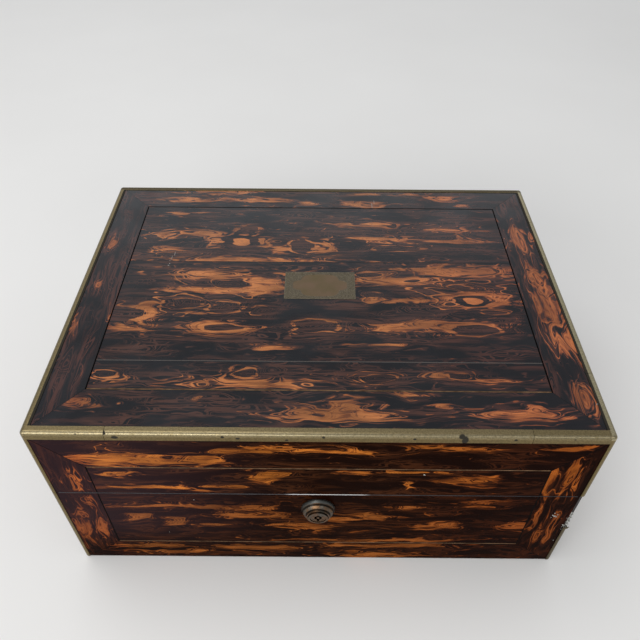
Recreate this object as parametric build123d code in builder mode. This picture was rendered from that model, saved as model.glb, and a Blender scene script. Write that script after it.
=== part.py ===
from build123d import *
import math
import os

# A veneered writing box that opens flat into a writing slope, with a drawer in its right side.
# Millimetres. Origin: centre of the face it rests on. +X right, +Y back (hinge side), +Z up.
# The front, with the lock, faces -Y. Everything is drawn shut, as the box stands on a table.

# ---------------------------------------------------------------- driving sizes: the case
width = 355.0  # over the brass, left to right
depth = 265.0  # over the brass, front to back
height = 160.0  # table to the top of the brass rim
parting_front = 93.0  # height of the joint between base and lid, at the front face
parting_gap = 0.4  # daylight between base and lid
wall = 9.0  # carcass boards
bottom_board = 7.0
top_board = 8.0
baize = 1.0  # cloth glued under the base
baize_inset = 1.0
veneer = 1.0
brass_proud = 0.4  # brass stands this far out of the veneer
seam = 0.12  # glue line between leaves of veneer

# brass edging
rim_top_leg = 5.5  # seen from above
rim_side_leg = 6.5  # seen from the front
post_leg = 3.6  # upright strips, on each face
brass_radius = 2.6
corner_reach = 50.0  # length of a cast corner piece along the rim
brass_joint = 0.25  # open joint between two lengths of brass
broken_post_top = 50.0  # the front right strip of the base has lost its upper end

# veneer frame: borders round a panel, with a fine line between
border_x = 30.5  # border width at the left and right ends of the long faces
border_front = 34.0  # border width along the front of the top
border_back = 30.5  # and along its back
border_y = 32.0  # border width at the ends of the short faces
panel_drop = 36.0  # from the top of the rim to the line under the upper border of the walls
panel_foot = 25.0  # height of the line over the lower border of the walls
string_width = 0.8
panel_seams = (28.8, -73.8)  # where the top panel's three leaves meet, in Y

# name plate on the lid
plate_width = 52.0
plate_depth = 29.8
plate_proud = 0.12

# main hinges
axis_out = 0.5  # hinge axis beyond the back face
hinge_place = 105.0  # distance of each hinge from the middle
hinge_length = 46.0
knuckle_radius = 2.6
pin_radius = 1.2
pin_play = 0.06
leaf_thickness = 1.5
leaf_reach = 9.5  # from the axis into the case
knuckle_play = 0.3
knuckle_gap = 0.15  # between two knuckles, lengthways

# writing flaps
flap_thickness = 6.0
flap_recess = 1.2  # top of the flap under the parting
flap_play = 0.7
flap_hinge_place = 50.0
flap_hinge_length = 26.0
flap_knuckle_radius = 1.9
flap_pin_radius = 0.8
flap_axis_drop = 2.4  # axis under the parting
flap_axis_in = 0.8  # axis in front of the back board
flap_edge_in = 1.5  # flap's back edge in front of its axis
leather = 0.8
leather_margin = 15.0
cleat = 6.0

# pen and ink bay, with the drawer under it
bay_width = 60.0  # front to back
divider = 6.0
drawer_height = 35.2
drawer_play = 0.4
roof = 4.0
partition = 4.0
ink_bay = 41.0
ink_bay_depth = 44.0
nib_partition = 24.0
partition_drop = 3.0  # partitions end this far under the parting
pen_tray_depth = 30.0
pen_trough_radius = 28.0
pen_trough_depth = 22.0
pen_trough_margin = 12.0
drawer_stop_gap = 0.3  # daylight behind the closed drawer
drawer_side = 5.0
drawer_floor = 3.0
groove_lift = 2.5
drawer_side_drop = 2.0  # the sides are lower than the front
groove_depth = 2.0

# inkwells
bottle_side = 38.0
bottle_height = 30.0
bottle_edge = 3.0
neck_radius = 13.4
neck_height = 4.5
neck_wall = 2.6
ink_depth = 29.0  # from the rim of the neck
cap_height = 7.5
cap_wall = 1.5
cap_play = 0.1

# flush drawer pull
pull_width = 46.0
pull_height = 24.0
pull_plate = 1.2
cup_width = 34.0
cup_height = 16.0
cup_depth = 6.5
cup_wall = 1.0
bail_radius = 1.2
bail_width = 28.0
bail_drop = 8.6
bail_pin_radius = 0.8
bail_pin_play = 0.08

# lock
lock_z = 75.5  # axis of the key
flange_radius = 11.5
nose_radius = 8.2
nozzle_reach = 8.0
flange_edge = 1.0
flange_depth = 6.0  # veneer to the foot of the nose
nose_step = 0.9
shank_radius = 7.6
barrel_radius = 5.5
barrel_play = 0.07
barrel_inset = 0.4  # barrel's face behind the nozzle's
barrel_in_case = 2.0
key_radius = 2.5
key_pin_radius = 0.9
key_depth = 12.0
key_notch = 1.7
key_notch_reach = 4.4
case_half = 33.0
selvedge_half = 43.0  # top plate of the lock case
case_foot = 57.0
case_wall = 1.0
case_side = 2.0
case_back = 2.0  # wood left in front of the lock case
case_plate = 2.2
hook_place = 18.0
hook_width = 7.5
hook_thickness = 2.6
hook_tip = 85.6
notch_depth = 4.8
notch_height = 3.0
notch_lip = 1.4
hook_play = 0.6
hook_plate_half = 30.0
hook_plate_thickness = 1.5
hook_screw_inset = 5.0
crank_radius = 3.5
crank_pin = 0.8
crank_pin_length = 2.2
crank_play = 0.25
bolt_clear = 0.5  # bolt tongue to hook when unlocked
bolt_bar = 3.4
bolt_drop = 0.8  # bar under the hooks' tips
bolt_tail = 2.0
bolt_post = 2.5
bolt_thickness = 3.8
tongue_play = 0.3

# countersunk wood screws
screw_head = 2.4
screw_head_height = 1.3
screw_shank = 1.1
screw_length = 6.0
screw_slot = 0.5
small_screw = 0.7  # scale of the screws in small fittings
flap_screw = 0.52  # and of those in the thin flaps

# ---------------------------------------------------------------- sizes that follow
veneer_x = width / 2 - brass_proud
veneer_y = depth / 2 - brass_proud
veneer_z = height - brass_proud
carcass_x = veneer_x - veneer
carcass_y = veneer_y - veneer
carcass_z = veneer_z - veneer
inner_x = carcass_x - wall
inner_y = carcass_y - wall
floor_z = baize + bottom_board
ceiling_z = carcass_z - top_board

axis_y = depth / 2 + axis_out
axis_z = height / 2
slope_angle = math.atan((parting_front - axis_z) / (axis_y + depth / 2))
# The slope plane holds the parting: X along the hinge, local Y down the slope to the back, Z out.
slope = Plane(
    origin=(0, axis_y, axis_z),
    x_dir=(1, 0, 0),
    z_dir=(0, math.sin(slope_angle), math.cos(slope_angle)),
)
base_cut = slope.offset(-parting_gap / 2)
lid_cut = slope.offset(parting_gap / 2)


def slope_y(y):
    """Local Y on the slope plane of a vertical wall face at this Y."""
    return (y - axis_y) / math.cos(slope_angle)


def parting_z(y):
    """Height of the parting at this Y."""
    return axis_z - (y - axis_y) * math.tan(slope_angle)


divider_front = -inner_y + bay_width
divider_back = divider_front + divider
bay_top = floor_z + drawer_height + 2 * drawer_play
tray_floor = bay_top + roof
panel_x = width / 2 - border_x
panel_top = height - panel_drop
case_front = -carcass_y + case_back
bolt_middle = -inner_y - case_wall - 2.6
nose_foot = -veneer_y - flange_depth
crank_swing = crank_radius * math.sin(math.radians(45))
bolt_travel = 2 * crank_swing
flap_axis_y = slope_y(inner_y) - flap_axis_in
flap_under = flap_recess + flap_thickness
flap_back_y = flap_axis_y - flap_edge_in
drawer_y = (-inner_y + drawer_play, divider_front - drawer_play)
drawer_z = (floor_z + drawer_play, bay_top - drawer_play)
pull_y = sum(drawer_y) / 2
pull_z = sum(drawer_z) / 2

os.makedirs("parts", exist_ok=True)


def keep(made, name):
    """Labels one finished piece and writes it."""
    made.part.label = name
    export_step(made.part, f"parts/{name}.step")


def together(*shapes):
    """Several separate solids as one piece of the list."""
    with BuildPart() as made:
        for each in shapes:
            add(each)
    return made


def cut_away(shape, *tools):
    """A shape with the room for its neighbours cut out of it."""
    with BuildPart() as made:
        add(shape)
        for each in tools:
            add(each, mode=Mode.SUBTRACT)
    return made


def block(x, y, z, mode=Mode.ADD):
    """A box between two corners, given as ranges, in the workplane of the part being built."""
    with Locations(((x[0] + x[1]) / 2, (y[0] + y[1]) / 2, (z[0] + z[1]) / 2)):
        Box(x[1] - x[0], y[1] - y[0], z[1] - z[0], mode=mode)


# ---------------------------------------------------------------- screws and hinges
def screw(place, into, scale=1.0):
    """A countersunk screw with its head at place, driven along the vector into."""
    head = screw_head * scale
    head_height = screw_head_height * scale
    shank = screw_shank * scale
    at = Plane(origin=place, x_dir=(1, 0, 0), z_dir=tuple(-c for c in into))
    with BuildPart(at) as made:
        with Locations((0, 0, -head_height / 2)):
            Cone(shank, head, head_height)
        with Locations((0, 0, -head_height - screw_length * scale / 2)):
            Cylinder(shank, screw_length * scale)
        block((-head, head), (-screw_slot * scale / 2, screw_slot * scale / 2),
              (-head_height * 0.45, head_height), mode=Mode.SUBTRACT)
    return made.part


def on_slope(x, y, z):
    """A point of the slope plane's own frame, in the box's frame."""
    return tuple(slope.from_local_coords(Vector(x, y, z)))


up_slope = tuple(slope.z_dir)
down_slope = tuple(-slope.z_dir)
across_hinge = (-0.33, 0.0, 0.33)  # screw places along a leaf, as shares of its length
across_flap_hinge = (-0.32, 0.32)
screw_row = -6.3  # from the main axis

base_hinge_screws = []
lid_hinge_screws = []
for side in (-1, 1):
    for share in across_hinge:
        x = side * hinge_place + share * hinge_length
        base_hinge_screws.append(screw(on_slope(x, screw_row, -parting_gap / 2), down_slope))
        lid_hinge_screws.append(screw(on_slope(x, screw_row, parting_gap / 2), up_slope))


def flap_screws(y, z, into, size=small_screw):
    """The screws of both hinges of one flap, on one side of the knuckles."""
    made = []
    for side in (-1, 1):
        for share in across_flap_hinge:
            x = side * flap_hinge_place + share * flap_hinge_length
            made.append(screw(on_slope(x, y, z), into, size))
    return made


flap_screw_out = 3.8  # fixed leaf's screws behind the flap's axis
flap_screw_in = 5.4  # moving leaf's screws in front of it
flap_leaf = 1.1
flap_leaf_out = 6.2
flap_leaf_in = 8.6
upper_fixed_screws = flap_screws(flap_axis_y + flap_screw_out, -parting_gap / 2, down_slope)
lower_fixed_screws = flap_screws(flap_axis_y + flap_screw_out, parting_gap / 2, up_slope)
upper_moving_screws = flap_screws(flap_axis_y - flap_screw_in, -flap_recess, down_slope, flap_screw)
lower_moving_screws = flap_screws(flap_axis_y - flap_screw_in, flap_recess, up_slope, flap_screw)


def hinge_leaves(top, fixed, screws, places, length, reach, radius, pin, thickness, y, z, drop):
    """One leaf and its knuckles at each place. top: -1 for the leaf under the axis, 1 above.
    fixed: True for the leaf with the two outer knuckles, which also holds the pin tight."""
    half = length / 2
    third = length / 6
    turning = third - knuckle_gap
    bands = [(-half, -third), (third, half)] if fixed else [(-turning, turning)]
    others = [(-third, third)] if fixed else [(-half - 1, -turning), (turning, half + 1)]
    bore = pin if fixed else pin + pin_play
    low, high = sorted((top * drop, top * (drop + thickness)))
    with BuildPart(slope) as made:
        for place in places:
            block((place - half, place + half), sorted((y, y + reach)), (low, high))
            for start, end in others:
                with Locations(Location((place + (start + end) / 2, y, z), (0, 90, 0))):
                    Cylinder(radius + knuckle_play * 0.6, end - start, mode=Mode.SUBTRACT)
            for start, end in bands:
                with Locations(Location((place + (start + end) / 2, y, z), (0, 90, 0))):
                    Cylinder(radius, end - start)
            with Locations(Location((place, y, z), (0, 90, 0))):
                Cylinder(bore, length + 2, mode=Mode.SUBTRACT)
    return cut_away(made.part, *screws).part


def hinge_pins(places, length, pin, y, z):
    """The pins of a pair of hinges."""
    with BuildPart(slope) as made:
        for place in places:
            with Locations(Location((place, y, z), (0, 90, 0))):
                Cylinder(pin, length)
    return made.part


def knuckle_room(places, length, radius, y, z):
    """The round recess that a pair of hinges' knuckles turn in."""
    with BuildPart(slope) as made:
        for place in places:
            with Locations(Location((place, y, z), (0, 90, 0))):
                Cylinder(radius + knuckle_play, length + 2 * knuckle_play)
    return made.part


main_places = (-hinge_place, hinge_place)
flap_places = (-flap_hinge_place, flap_hinge_place)
base_leaves = hinge_leaves(-1, True, base_hinge_screws, main_places, hinge_length, -leaf_reach,
                           knuckle_radius, pin_radius, leaf_thickness, 0, 0, parting_gap / 2)
lid_leaves = hinge_leaves(1, False, lid_hinge_screws, main_places, hinge_length, -leaf_reach,
                          knuckle_radius, pin_radius, leaf_thickness, 0, 0, parting_gap / 2)
main_pins = hinge_pins(main_places, hinge_length, pin_radius, 0, 0)
main_room = knuckle_room(main_places, hinge_length, knuckle_radius, 0, 0)
flap_hinge_sizes = (flap_hinge_length, flap_knuckle_radius, flap_pin_radius, flap_leaf)


def flap_hinge(top, fixed, screws):
    """The fixed or the moving leaves of one flap. top: -1 in the base, 1 in the lid."""
    length, radius, pin, thickness = flap_hinge_sizes
    reach = flap_leaf_out if fixed else -flap_leaf_in
    drop = parting_gap / 2 if fixed else flap_recess
    return hinge_leaves(top, fixed, screws, flap_places, length, reach, radius, pin, thickness,
                        flap_axis_y, top * flap_axis_drop, drop)


upper_fixed_leaves = flap_hinge(-1, True, upper_fixed_screws)
upper_moving_leaves = flap_hinge(-1, False, upper_moving_screws)
lower_fixed_leaves = flap_hinge(1, True, lower_fixed_screws)
lower_moving_leaves = flap_hinge(1, False, lower_moving_screws)
upper_pins, lower_pins = [
    hinge_pins(flap_places, flap_hinge_length, flap_pin_radius, flap_axis_y, top * flap_axis_drop)
    for top in (-1, 1)
]
upper_room, lower_room = [
    knuckle_room(flap_places, flap_hinge_length, flap_knuckle_radius, flap_axis_y, top * flap_axis_drop)
    for top in (-1, 1)
]

# ---------------------------------------------------------------- lock
lock_axis = Plane(origin=(0, 0, lock_z), x_dir=(1, 0, 0), z_dir=(0, -1, 0))  # Z runs out at the front
turned = Plane(origin=(0, 0, lock_z), x_dir=(1, 0, 0), z_dir=(0, 0, 1))  # half profiles about the key's axis
key_axis = Axis((0, 0, lock_z), (0, 1, 0))
hook_y = (bolt_middle - hook_thickness / 2, bolt_middle + hook_thickness / 2)
bolt_y = (bolt_middle - bolt_thickness / 2, bolt_middle + bolt_thickness / 2)
front_parting = parting_z(-inner_y)
nose_face = -veneer_y - nozzle_reach
barrel_hole = barrel_radius + barrel_play
barrel_face = nose_face + barrel_inset
barrel_back = case_front + case_wall + barrel_in_case
dome = ((flange_radius + nose_radius) / 2 + 0.5, (-veneer_y - flange_edge + nose_foot) / 2 - 0.4)

with BuildPart() as lock_nozzle:
    with BuildSketch(turned):
        with BuildLine():
            Polyline((barrel_hole, case_front), (shank_radius, case_front), (shank_radius, -veneer_y),
                     (flange_radius, -veneer_y), (flange_radius, -veneer_y - flange_edge))
            ThreePointArc((flange_radius, -veneer_y - flange_edge), dome, (nose_radius, nose_foot))
            Polyline((nose_radius, nose_foot), (nose_radius - 0.3, nose_face + nose_step),
                     (nose_radius - 1.0, nose_face + nose_step),
                     (nose_radius - 1.0, nose_face + 2 * nose_step),
                     (nose_radius - 1.6, nose_face + 2 * nose_step), (nose_radius - 1.6, nose_face),
                     (barrel_hole, nose_face), (barrel_hole, case_front))
        make_face()
    revolve(axis=key_axis)
keep(lock_nozzle, "lock_nozzle")

with BuildPart(lock_axis) as lock_barrel:
    with Locations((0, 0, -(barrel_face + barrel_back) / 2)):
        Cylinder(barrel_radius, barrel_back - barrel_face)
    with BuildSketch(lock_axis.offset(-barrel_face)):
        Circle(key_radius)
        with Locations((0, -key_notch_reach / 2)):
            Rectangle(key_notch, key_notch_reach)
        with PolarLocations(key_radius + 0.5, 6, start_angle=30):
            Rectangle(1.6, 0.45)
        Circle(key_pin_radius, mode=Mode.SUBTRACT)
    extrude(amount=-key_depth, mode=Mode.SUBTRACT)
    with Locations((-crank_swing, crank_swing, -barrel_back - crank_pin_length / 2)):
        Cylinder(crank_pin, crank_pin_length)
keep(lock_barrel, "lock_barrel")

with BuildPart(slope) as selvedge:
    block((-selvedge_half, selvedge_half), (slope_y(case_front), slope_y(-inner_y)),
          (-parting_gap / 2 - case_plate, -parting_gap / 2))
lock_screw_x = (selvedge_half + case_half) / 2
lock_screws = [screw(on_slope(side * lock_screw_x, slope_y(bolt_middle), -parting_gap / 2),
                     down_slope, small_screw) for side in (-1, 1)]
with BuildPart() as lock_mortise:
    block((-case_half, case_half), (case_front, -inner_y), (case_foot, front_parting + 1))
    split(bisect_by=base_cut, keep=Keep.BOTTOM)
    add(selvedge.part)

with BuildPart() as lock_case:
    add(lock_mortise.part)
    block((-case_half + case_side, case_half - case_side),
          (case_front + case_wall, -inner_y - case_wall),
          (case_foot + case_side, front_parting - case_plate - 0.4), mode=Mode.SUBTRACT)
    for place in (-hook_place, hook_place):
        reach = hook_width / 2 + hook_play
        block((place - reach, place + reach), (hook_y[0] - hook_play, hook_y[1] + hook_play),
              (front_parting - case_plate - 2, front_parting + 2), mode=Mode.SUBTRACT)
    with BuildSketch(lock_axis.offset(-case_front - case_wall - 0.5)):
        Circle(barrel_hole)
    extrude(amount=case_wall + 1, mode=Mode.SUBTRACT)
    for each in lock_screws:
        add(each, mode=Mode.SUBTRACT)
keep(lock_case, "lock_case")

bar_z = (hook_tip - bolt_drop - bolt_bar, hook_tip - bolt_drop)
notch_z = (hook_tip + notch_lip, hook_tip + notch_lip + notch_height)
tongue_z = (notch_z[0] + tongue_play, notch_z[1] - tongue_play)
tongue = bolt_travel - bolt_clear + tongue_play / 2
with BuildPart() as lock_bolt:
    block((-hook_place - hook_width / 2 - bolt_clear - tongue - bolt_post, hook_place), bolt_y, bar_z)
    for place in (-hook_place, hook_place):
        tip = place - hook_width / 2 - bolt_clear
        block((tip - tongue - bolt_post, tip - tongue), bolt_y, (bar_z[0], tongue_z[1]))
        block((tip - tongue, tip), (hook_y[0] + 0.2, hook_y[1] - 0.2), tongue_z)
    # a tail with an upright slot, which the barrel's crank pin works in
    tail_y = (barrel_back + 0.3, bolt_y[1])
    slot = crank_pin + crank_play
    block((-crank_swing - slot - bolt_tail, -crank_swing + slot + bolt_tail), tail_y,
          (lock_z + crank_pin / 2, bar_z[0]))
    block((-crank_swing - slot, -crank_swing + slot), (tail_y[0] - 1, tail_y[1] + 1),
          (lock_z - 1, lock_z + crank_radius + slot), mode=Mode.SUBTRACT)
keep(lock_bolt, "lock_bolt")

hook_screw_x = hook_plate_half - hook_screw_inset
hook_screws = [screw(on_slope(x, slope_y(bolt_middle), parting_gap / 2), up_slope, small_screw)
               for x in (-hook_screw_x, 0, hook_screw_x)]
with BuildPart(slope) as hook_backing:
    block((-hook_plate_half, hook_plate_half), (slope_y(case_front), slope_y(-inner_y - case_side / 4)),
          (parting_gap / 2, parting_gap / 2 + hook_plate_thickness))
with BuildPart() as lock_hook_plate:
    add(hook_backing.part)
    for place in (-hook_place, hook_place):
        half = hook_width / 2
        block((place - half, place + half), hook_y, (hook_tip, parting_z(bolt_middle) + 0.8))
        block((place - half - 1, place - half + notch_depth), (hook_y[0] - 1, hook_y[1] + 1), notch_z,
              mode=Mode.SUBTRACT)
    for each in hook_screws:
        add(each, mode=Mode.SUBTRACT)
keep(lock_hook_plate, "lock_hook_plate")

# ---------------------------------------------------------------- hinges, pins and screws, as nodes
keep(together(base_leaves, upper_fixed_leaves), "base_hinge_leaves")
keep(together(main_pins, upper_pins), "base_hinge_pins")
keep(together(*base_hinge_screws, *upper_fixed_screws, *lock_screws), "base_screws")
keep(together(lid_leaves, lower_fixed_leaves), "lid_hinge_leaves")
keep(together(lower_pins), "lid_flap_pins")
keep(together(*lid_hinge_screws, *lower_fixed_screws, *hook_screws), "lid_screws")

# ---------------------------------------------------------------- carcass of the base
with BuildPart() as base_baize:
    block((-carcass_x + baize_inset, carcass_x - baize_inset),
          (-carcass_y + baize_inset, carcass_y - baize_inset), (0, baize))
keep(base_baize, "base_baize")

with BuildPart() as base_bottom_board:
    block((-carcass_x, carcass_x), (-carcass_y, carcass_y), (baize, floor_z))
keep(base_bottom_board, "base_bottom_board")

with BuildPart() as base_front_board:
    block((-carcass_x, carcass_x), (-carcass_y, -inner_y), (floor_z, height))
    split(bisect_by=base_cut, keep=Keep.BOTTOM)
    with BuildSketch(lock_axis.offset(-case_front - 1)):
        Circle(shank_radius)
    extrude(amount=wall, mode=Mode.SUBTRACT)
keep(cut_away(base_front_board.part, lock_mortise.part, *lock_screws), "base_front_board")

with BuildPart() as base_back_board:
    block((-carcass_x, carcass_x), (inner_y, carcass_y), (floor_z, height))
    split(bisect_by=base_cut, keep=Keep.BOTTOM)
keep(cut_away(base_back_board.part, base_leaves, upper_fixed_leaves, main_room, upper_room,
              *base_hinge_screws, *upper_fixed_screws), "base_back_board")

with BuildPart() as base_left_board:
    block((-carcass_x, -inner_x), (-inner_y, inner_y), (floor_z, height))
    split(bisect_by=base_cut, keep=Keep.BOTTOM)
keep(base_left_board, "base_left_board")

with BuildPart() as base_right_board:
    block((inner_x, carcass_x), (-inner_y, inner_y), (floor_z, height))
    split(bisect_by=base_cut, keep=Keep.BOTTOM)
    block((inner_x - 1, carcass_x + 1), (-inner_y - 1, divider_front), (floor_z - 1, bay_top),
          mode=Mode.SUBTRACT)
keep(base_right_board, "base_right_board")

# ---------------------------------------------------------------- inside the base
with BuildPart() as drawer_roof:
    block((-inner_x, inner_x), (-inner_y, divider_front), (bay_top, tray_floor))
keep(drawer_roof, "drawer_roof")

with BuildPart() as bay_divider:
    block((-inner_x, inner_x), (divider_front, divider_back), (floor_z, height))
    split(bisect_by=base_cut, keep=Keep.BOTTOM)
keep(bay_divider, "bay_divider")

tray_half = inner_x - ink_bay - partition
ink_x = inner_x - ink_bay / 2
ink_y = -inner_y + ink_bay_depth / 2
with BuildPart() as bay_partitions:
    for side in (-1, 1):
        block(sorted((side * tray_half, side * (tray_half + partition))), (-inner_y, divider_front),
              (tray_floor, height))
        block(sorted((side * (tray_half + partition), side * inner_x)),
              (-inner_y + ink_bay_depth, -inner_y + ink_bay_depth + partition),
              (tray_floor, tray_floor + nib_partition))
    split(bisect_by=base_cut.offset(-partition_drop), keep=Keep.BOTTOM)
keep(bay_partitions, "bay_partitions")

with BuildPart() as pen_tray:
    block((-tray_half, tray_half), (-inner_y, divider_front), (tray_floor, tray_floor + pen_tray_depth))
    trough_z = tray_floor + pen_tray_depth + pen_trough_radius - pen_trough_depth
    with Locations(Location((0, (-inner_y + divider_front) / 2, trough_z), (0, 90, 0))):
        Cylinder(pen_trough_radius, 2 * (tray_half - pen_trough_margin), mode=Mode.SUBTRACT)
keep(pen_tray, "pen_tray")

with BuildPart() as ink_bottles:
    for side in (-1, 1):
        with BuildSketch(Plane.XY.offset(tray_floor)):
            with Locations((side * ink_x, ink_y)):
                RectangleRounded(bottle_side, bottle_side, bottle_edge)
        extrude(amount=bottle_height)
        with Locations((side * ink_x, ink_y, tray_floor + bottle_height + neck_height / 2)):
            Cylinder(neck_radius, neck_height)
        with Locations((side * ink_x, ink_y, tray_floor + bottle_height + neck_height - ink_depth / 2)):
            Cylinder(neck_radius - neck_wall, ink_depth, mode=Mode.SUBTRACT)
keep(ink_bottles, "ink_bottles")

with BuildPart() as ink_caps:
    cap_foot = tray_floor + bottle_height
    cap_bore = neck_radius + cap_play
    for side in (-1, 1):
        with Locations((side * ink_x, ink_y, cap_foot + cap_height / 2)):
            Cylinder(cap_bore + cap_wall, cap_height)
        with Locations((side * ink_x, ink_y, cap_foot + (cap_height - cap_wall) / 2)):
            Cylinder(cap_bore, cap_height - cap_wall, mode=Mode.SUBTRACT)
    fillet(ink_caps.edges().group_by(Axis.Z)[-1], cap_wall / 2)
keep(ink_caps, "ink_caps")


def cleats(top, ends):
    """Strips that a flap rests on: at both sides, and along the wall under its free edge.
    ends: where the strips start and stop, in Y. top: -1 in the base, 1 in the lid."""
    low, high = sorted((top * flap_under, top * (flap_under + cleat)))
    free_edge = slope_y(ends[0])
    with BuildPart(slope) as made:
        for side in (-1, 1):
            block(sorted((side * inner_x, side * (inner_x - cleat))), (free_edge - 1, 0), (low, high))
        block((-inner_x + cleat, inner_x - cleat), (free_edge - 1, free_edge + cleat), (low, high))
    with BuildPart() as trimmed:
        add(made.part)
        block((-inner_x, inner_x), ends, (0, height), mode=Mode.INTERSECT)
    return trimmed


keep(cleats(-1, (divider_back, inner_y)), "upper_flap_cleats")
keep(cleats(1, (-inner_y, inner_y)), "lower_flap_cleats")

# ---------------------------------------------------------------- writing flaps
flap_half = inner_x - flap_play


def flap_parts(top, free_edge, leaves, screws, room):
    """The board of one flap and the leather let into its face."""
    face = sorted((top * flap_recess, top * flap_under))
    inlay = sorted((top * flap_recess, top * (flap_recess + leather)))
    inlay_x = (-flap_half + leather_margin, flap_half - leather_margin)
    inlay_y = (free_edge + leather_margin, flap_back_y - leather_margin)
    with BuildPart(slope) as board:
        block((-flap_half, flap_half), (free_edge, flap_back_y), face)
        block(inlay_x, inlay_y, inlay, mode=Mode.SUBTRACT)
    with BuildPart(slope) as skin:
        block(inlay_x, inlay_y, inlay)
    return cut_away(board.part, leaves, room, *screws), skin


upper_flap_board, upper_flap_leather = flap_parts(
    -1, slope_y(divider_back) + flap_play, upper_moving_leaves, upper_moving_screws, upper_room)
lower_flap_board, lower_flap_leather = flap_parts(
    1, slope_y(-inner_y) + flap_play, lower_moving_leaves, lower_moving_screws, lower_room)
keep(upper_flap_board, "upper_flap_board")
keep(upper_flap_leather, "upper_flap_leather")
keep(together(upper_moving_leaves, *upper_moving_screws), "upper_flap_hinges")
keep(lower_flap_board, "lower_flap_board")
keep(lower_flap_leather, "lower_flap_leather")
keep(together(lower_moving_leaves, *lower_moving_screws), "lower_flap_hinges")

# ---------------------------------------------------------------- carcass of the lid
with BuildPart() as lid_top_board:
    block((-carcass_x, carcass_x), (-carcass_y, carcass_y), (ceiling_z, carcass_z))
keep(lid_top_board, "lid_top_board")

with BuildPart() as lid_front_board:
    block((-carcass_x, carcass_x), (-carcass_y, -inner_y), (0, ceiling_z))
    split(bisect_by=lid_cut, keep=Keep.TOP)
keep(cut_away(lid_front_board.part, hook_backing.part, *hook_screws), "lid_front_board")

with BuildPart() as lid_back_board:
    block((-carcass_x, carcass_x), (inner_y, carcass_y), (0, ceiling_z))
    split(bisect_by=lid_cut, keep=Keep.TOP)
keep(cut_away(lid_back_board.part, lid_leaves, lower_fixed_leaves, main_room, lower_room,
              *lid_hinge_screws, *lower_fixed_screws), "lid_back_board")

with BuildPart() as lid_side_boards:
    for side in (-1, 1):
        block(sorted((side * inner_x, side * carcass_x)), (-inner_y, inner_y), (0, ceiling_z))
    split(bisect_by=lid_cut, keep=Keep.TOP)
keep(lid_side_boards, "lid_side_boards")

# ---------------------------------------------------------------- veneer
front_face = Plane(origin=(0, -carcass_y, 0), x_dir=(1, 0, 0), z_dir=(0, -1, 0))
back_face = Plane(origin=(0, carcass_y, 0), x_dir=(-1, 0, 0), z_dir=(0, 1, 0))
left_face = Plane(origin=(-carcass_x, 0, 0), x_dir=(0, -1, 0), z_dir=(-1, 0, 0))
right_face = Plane(origin=(carcass_x, 0, 0), x_dir=(0, 1, 0), z_dir=(1, 0, 0))
top_face = Plane(origin=(0, 0, carcass_z), x_dir=(1, 0, 0), z_dir=(0, 0, 1))
wall_low, wall_high = baize, height - rim_side_leg


def frame_pieces(face, half, low, high, panel_half, panel_low, panel_high):
    """Four mitred border strips and the line round the panel, as veneer on one face."""
    outer = [(-half, low), (half, low), (half, high), (-half, high)]
    inner = [(-panel_half, panel_low), (panel_half, panel_low), (panel_half, panel_high),
             (-panel_half, panel_high)]
    with BuildPart() as border:
        for first in range(4):
            second = (first + 1) % 4
            with BuildSketch(face):
                with BuildLine():
                    Polyline(outer[first], outer[second], inner[second], inner[first], close=True)
                make_face()
                offset(amount=-seam / 2, kind=Kind.INTERSECTION, mode=Mode.REPLACE)
            extrude(amount=veneer)
    middle = (panel_low + panel_high) / 2
    tall = panel_high - panel_low - seam
    wide = 2 * panel_half - seam
    with BuildPart() as line:
        with BuildSketch(face):
            with Locations((0, middle)):
                Rectangle(wide, tall)
                Rectangle(wide - 2 * string_width, tall - 2 * string_width, mode=Mode.SUBTRACT)
        extrude(amount=veneer)
    return border.part, line.part


def panel_piece(face, panel_half, panel_low, panel_high):
    """The plain panel inside the line, as veneer on one face."""
    inside = string_width + seam
    with BuildPart() as panel:
        with BuildSketch(face):
            with Locations((0, (panel_low + panel_high) / 2)):
                Rectangle(2 * (panel_half - inside), panel_high - panel_low - 2 * inside)
        extrude(amount=veneer)
    return panel.part


def base_half(shape):
    """What lies under the parting."""
    with BuildPart() as made:
        add(shape)
        split(bisect_by=base_cut, keep=Keep.BOTTOM)
    return made.part


def lid_half(shape):
    """What lies over the parting."""
    with BuildPart() as made:
        add(shape)
        split(bisect_by=lid_cut, keep=Keep.TOP)
    return made.part


front_border, front_line = frame_pieces(front_face, width / 2 - post_leg, wall_low, wall_high,
                                        panel_x, panel_foot, panel_top)
front_panel = panel_piece(front_face, panel_x, panel_foot, panel_top)
side_half = depth / 2 - post_leg
side_panel = depth / 2 - border_y
side_shapes = {}
for side_name, face in (("left", left_face), ("right", right_face)):
    border, line = frame_pieces(face, side_half, wall_low, wall_high, side_panel, panel_foot, panel_top)
    panel = panel_piece(face, side_panel, panel_foot, panel_top)
    side_shapes[side_name] = (together(border, panel).part, line)

with BuildPart() as nozzle_hole:
    with BuildSketch(lock_axis.offset(carcass_y - 1)):
        Circle(shank_radius)
    extrude(amount=veneer + 2)
keep(cut_away(base_half(front_panel), nozzle_hole.part), "base_front_panel")
keep(together(base_half(front_border)), "base_front_border")
keep(together(lid_half(front_panel)), "lid_front_panel")
keep(together(lid_half(front_border)), "lid_front_border")
keep(together(base_half(side_shapes["left"][0])), "base_left_veneer")
keep(together(*[lid_half(shape) for shape, line in side_shapes.values()]), "lid_side_veneers")

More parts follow.
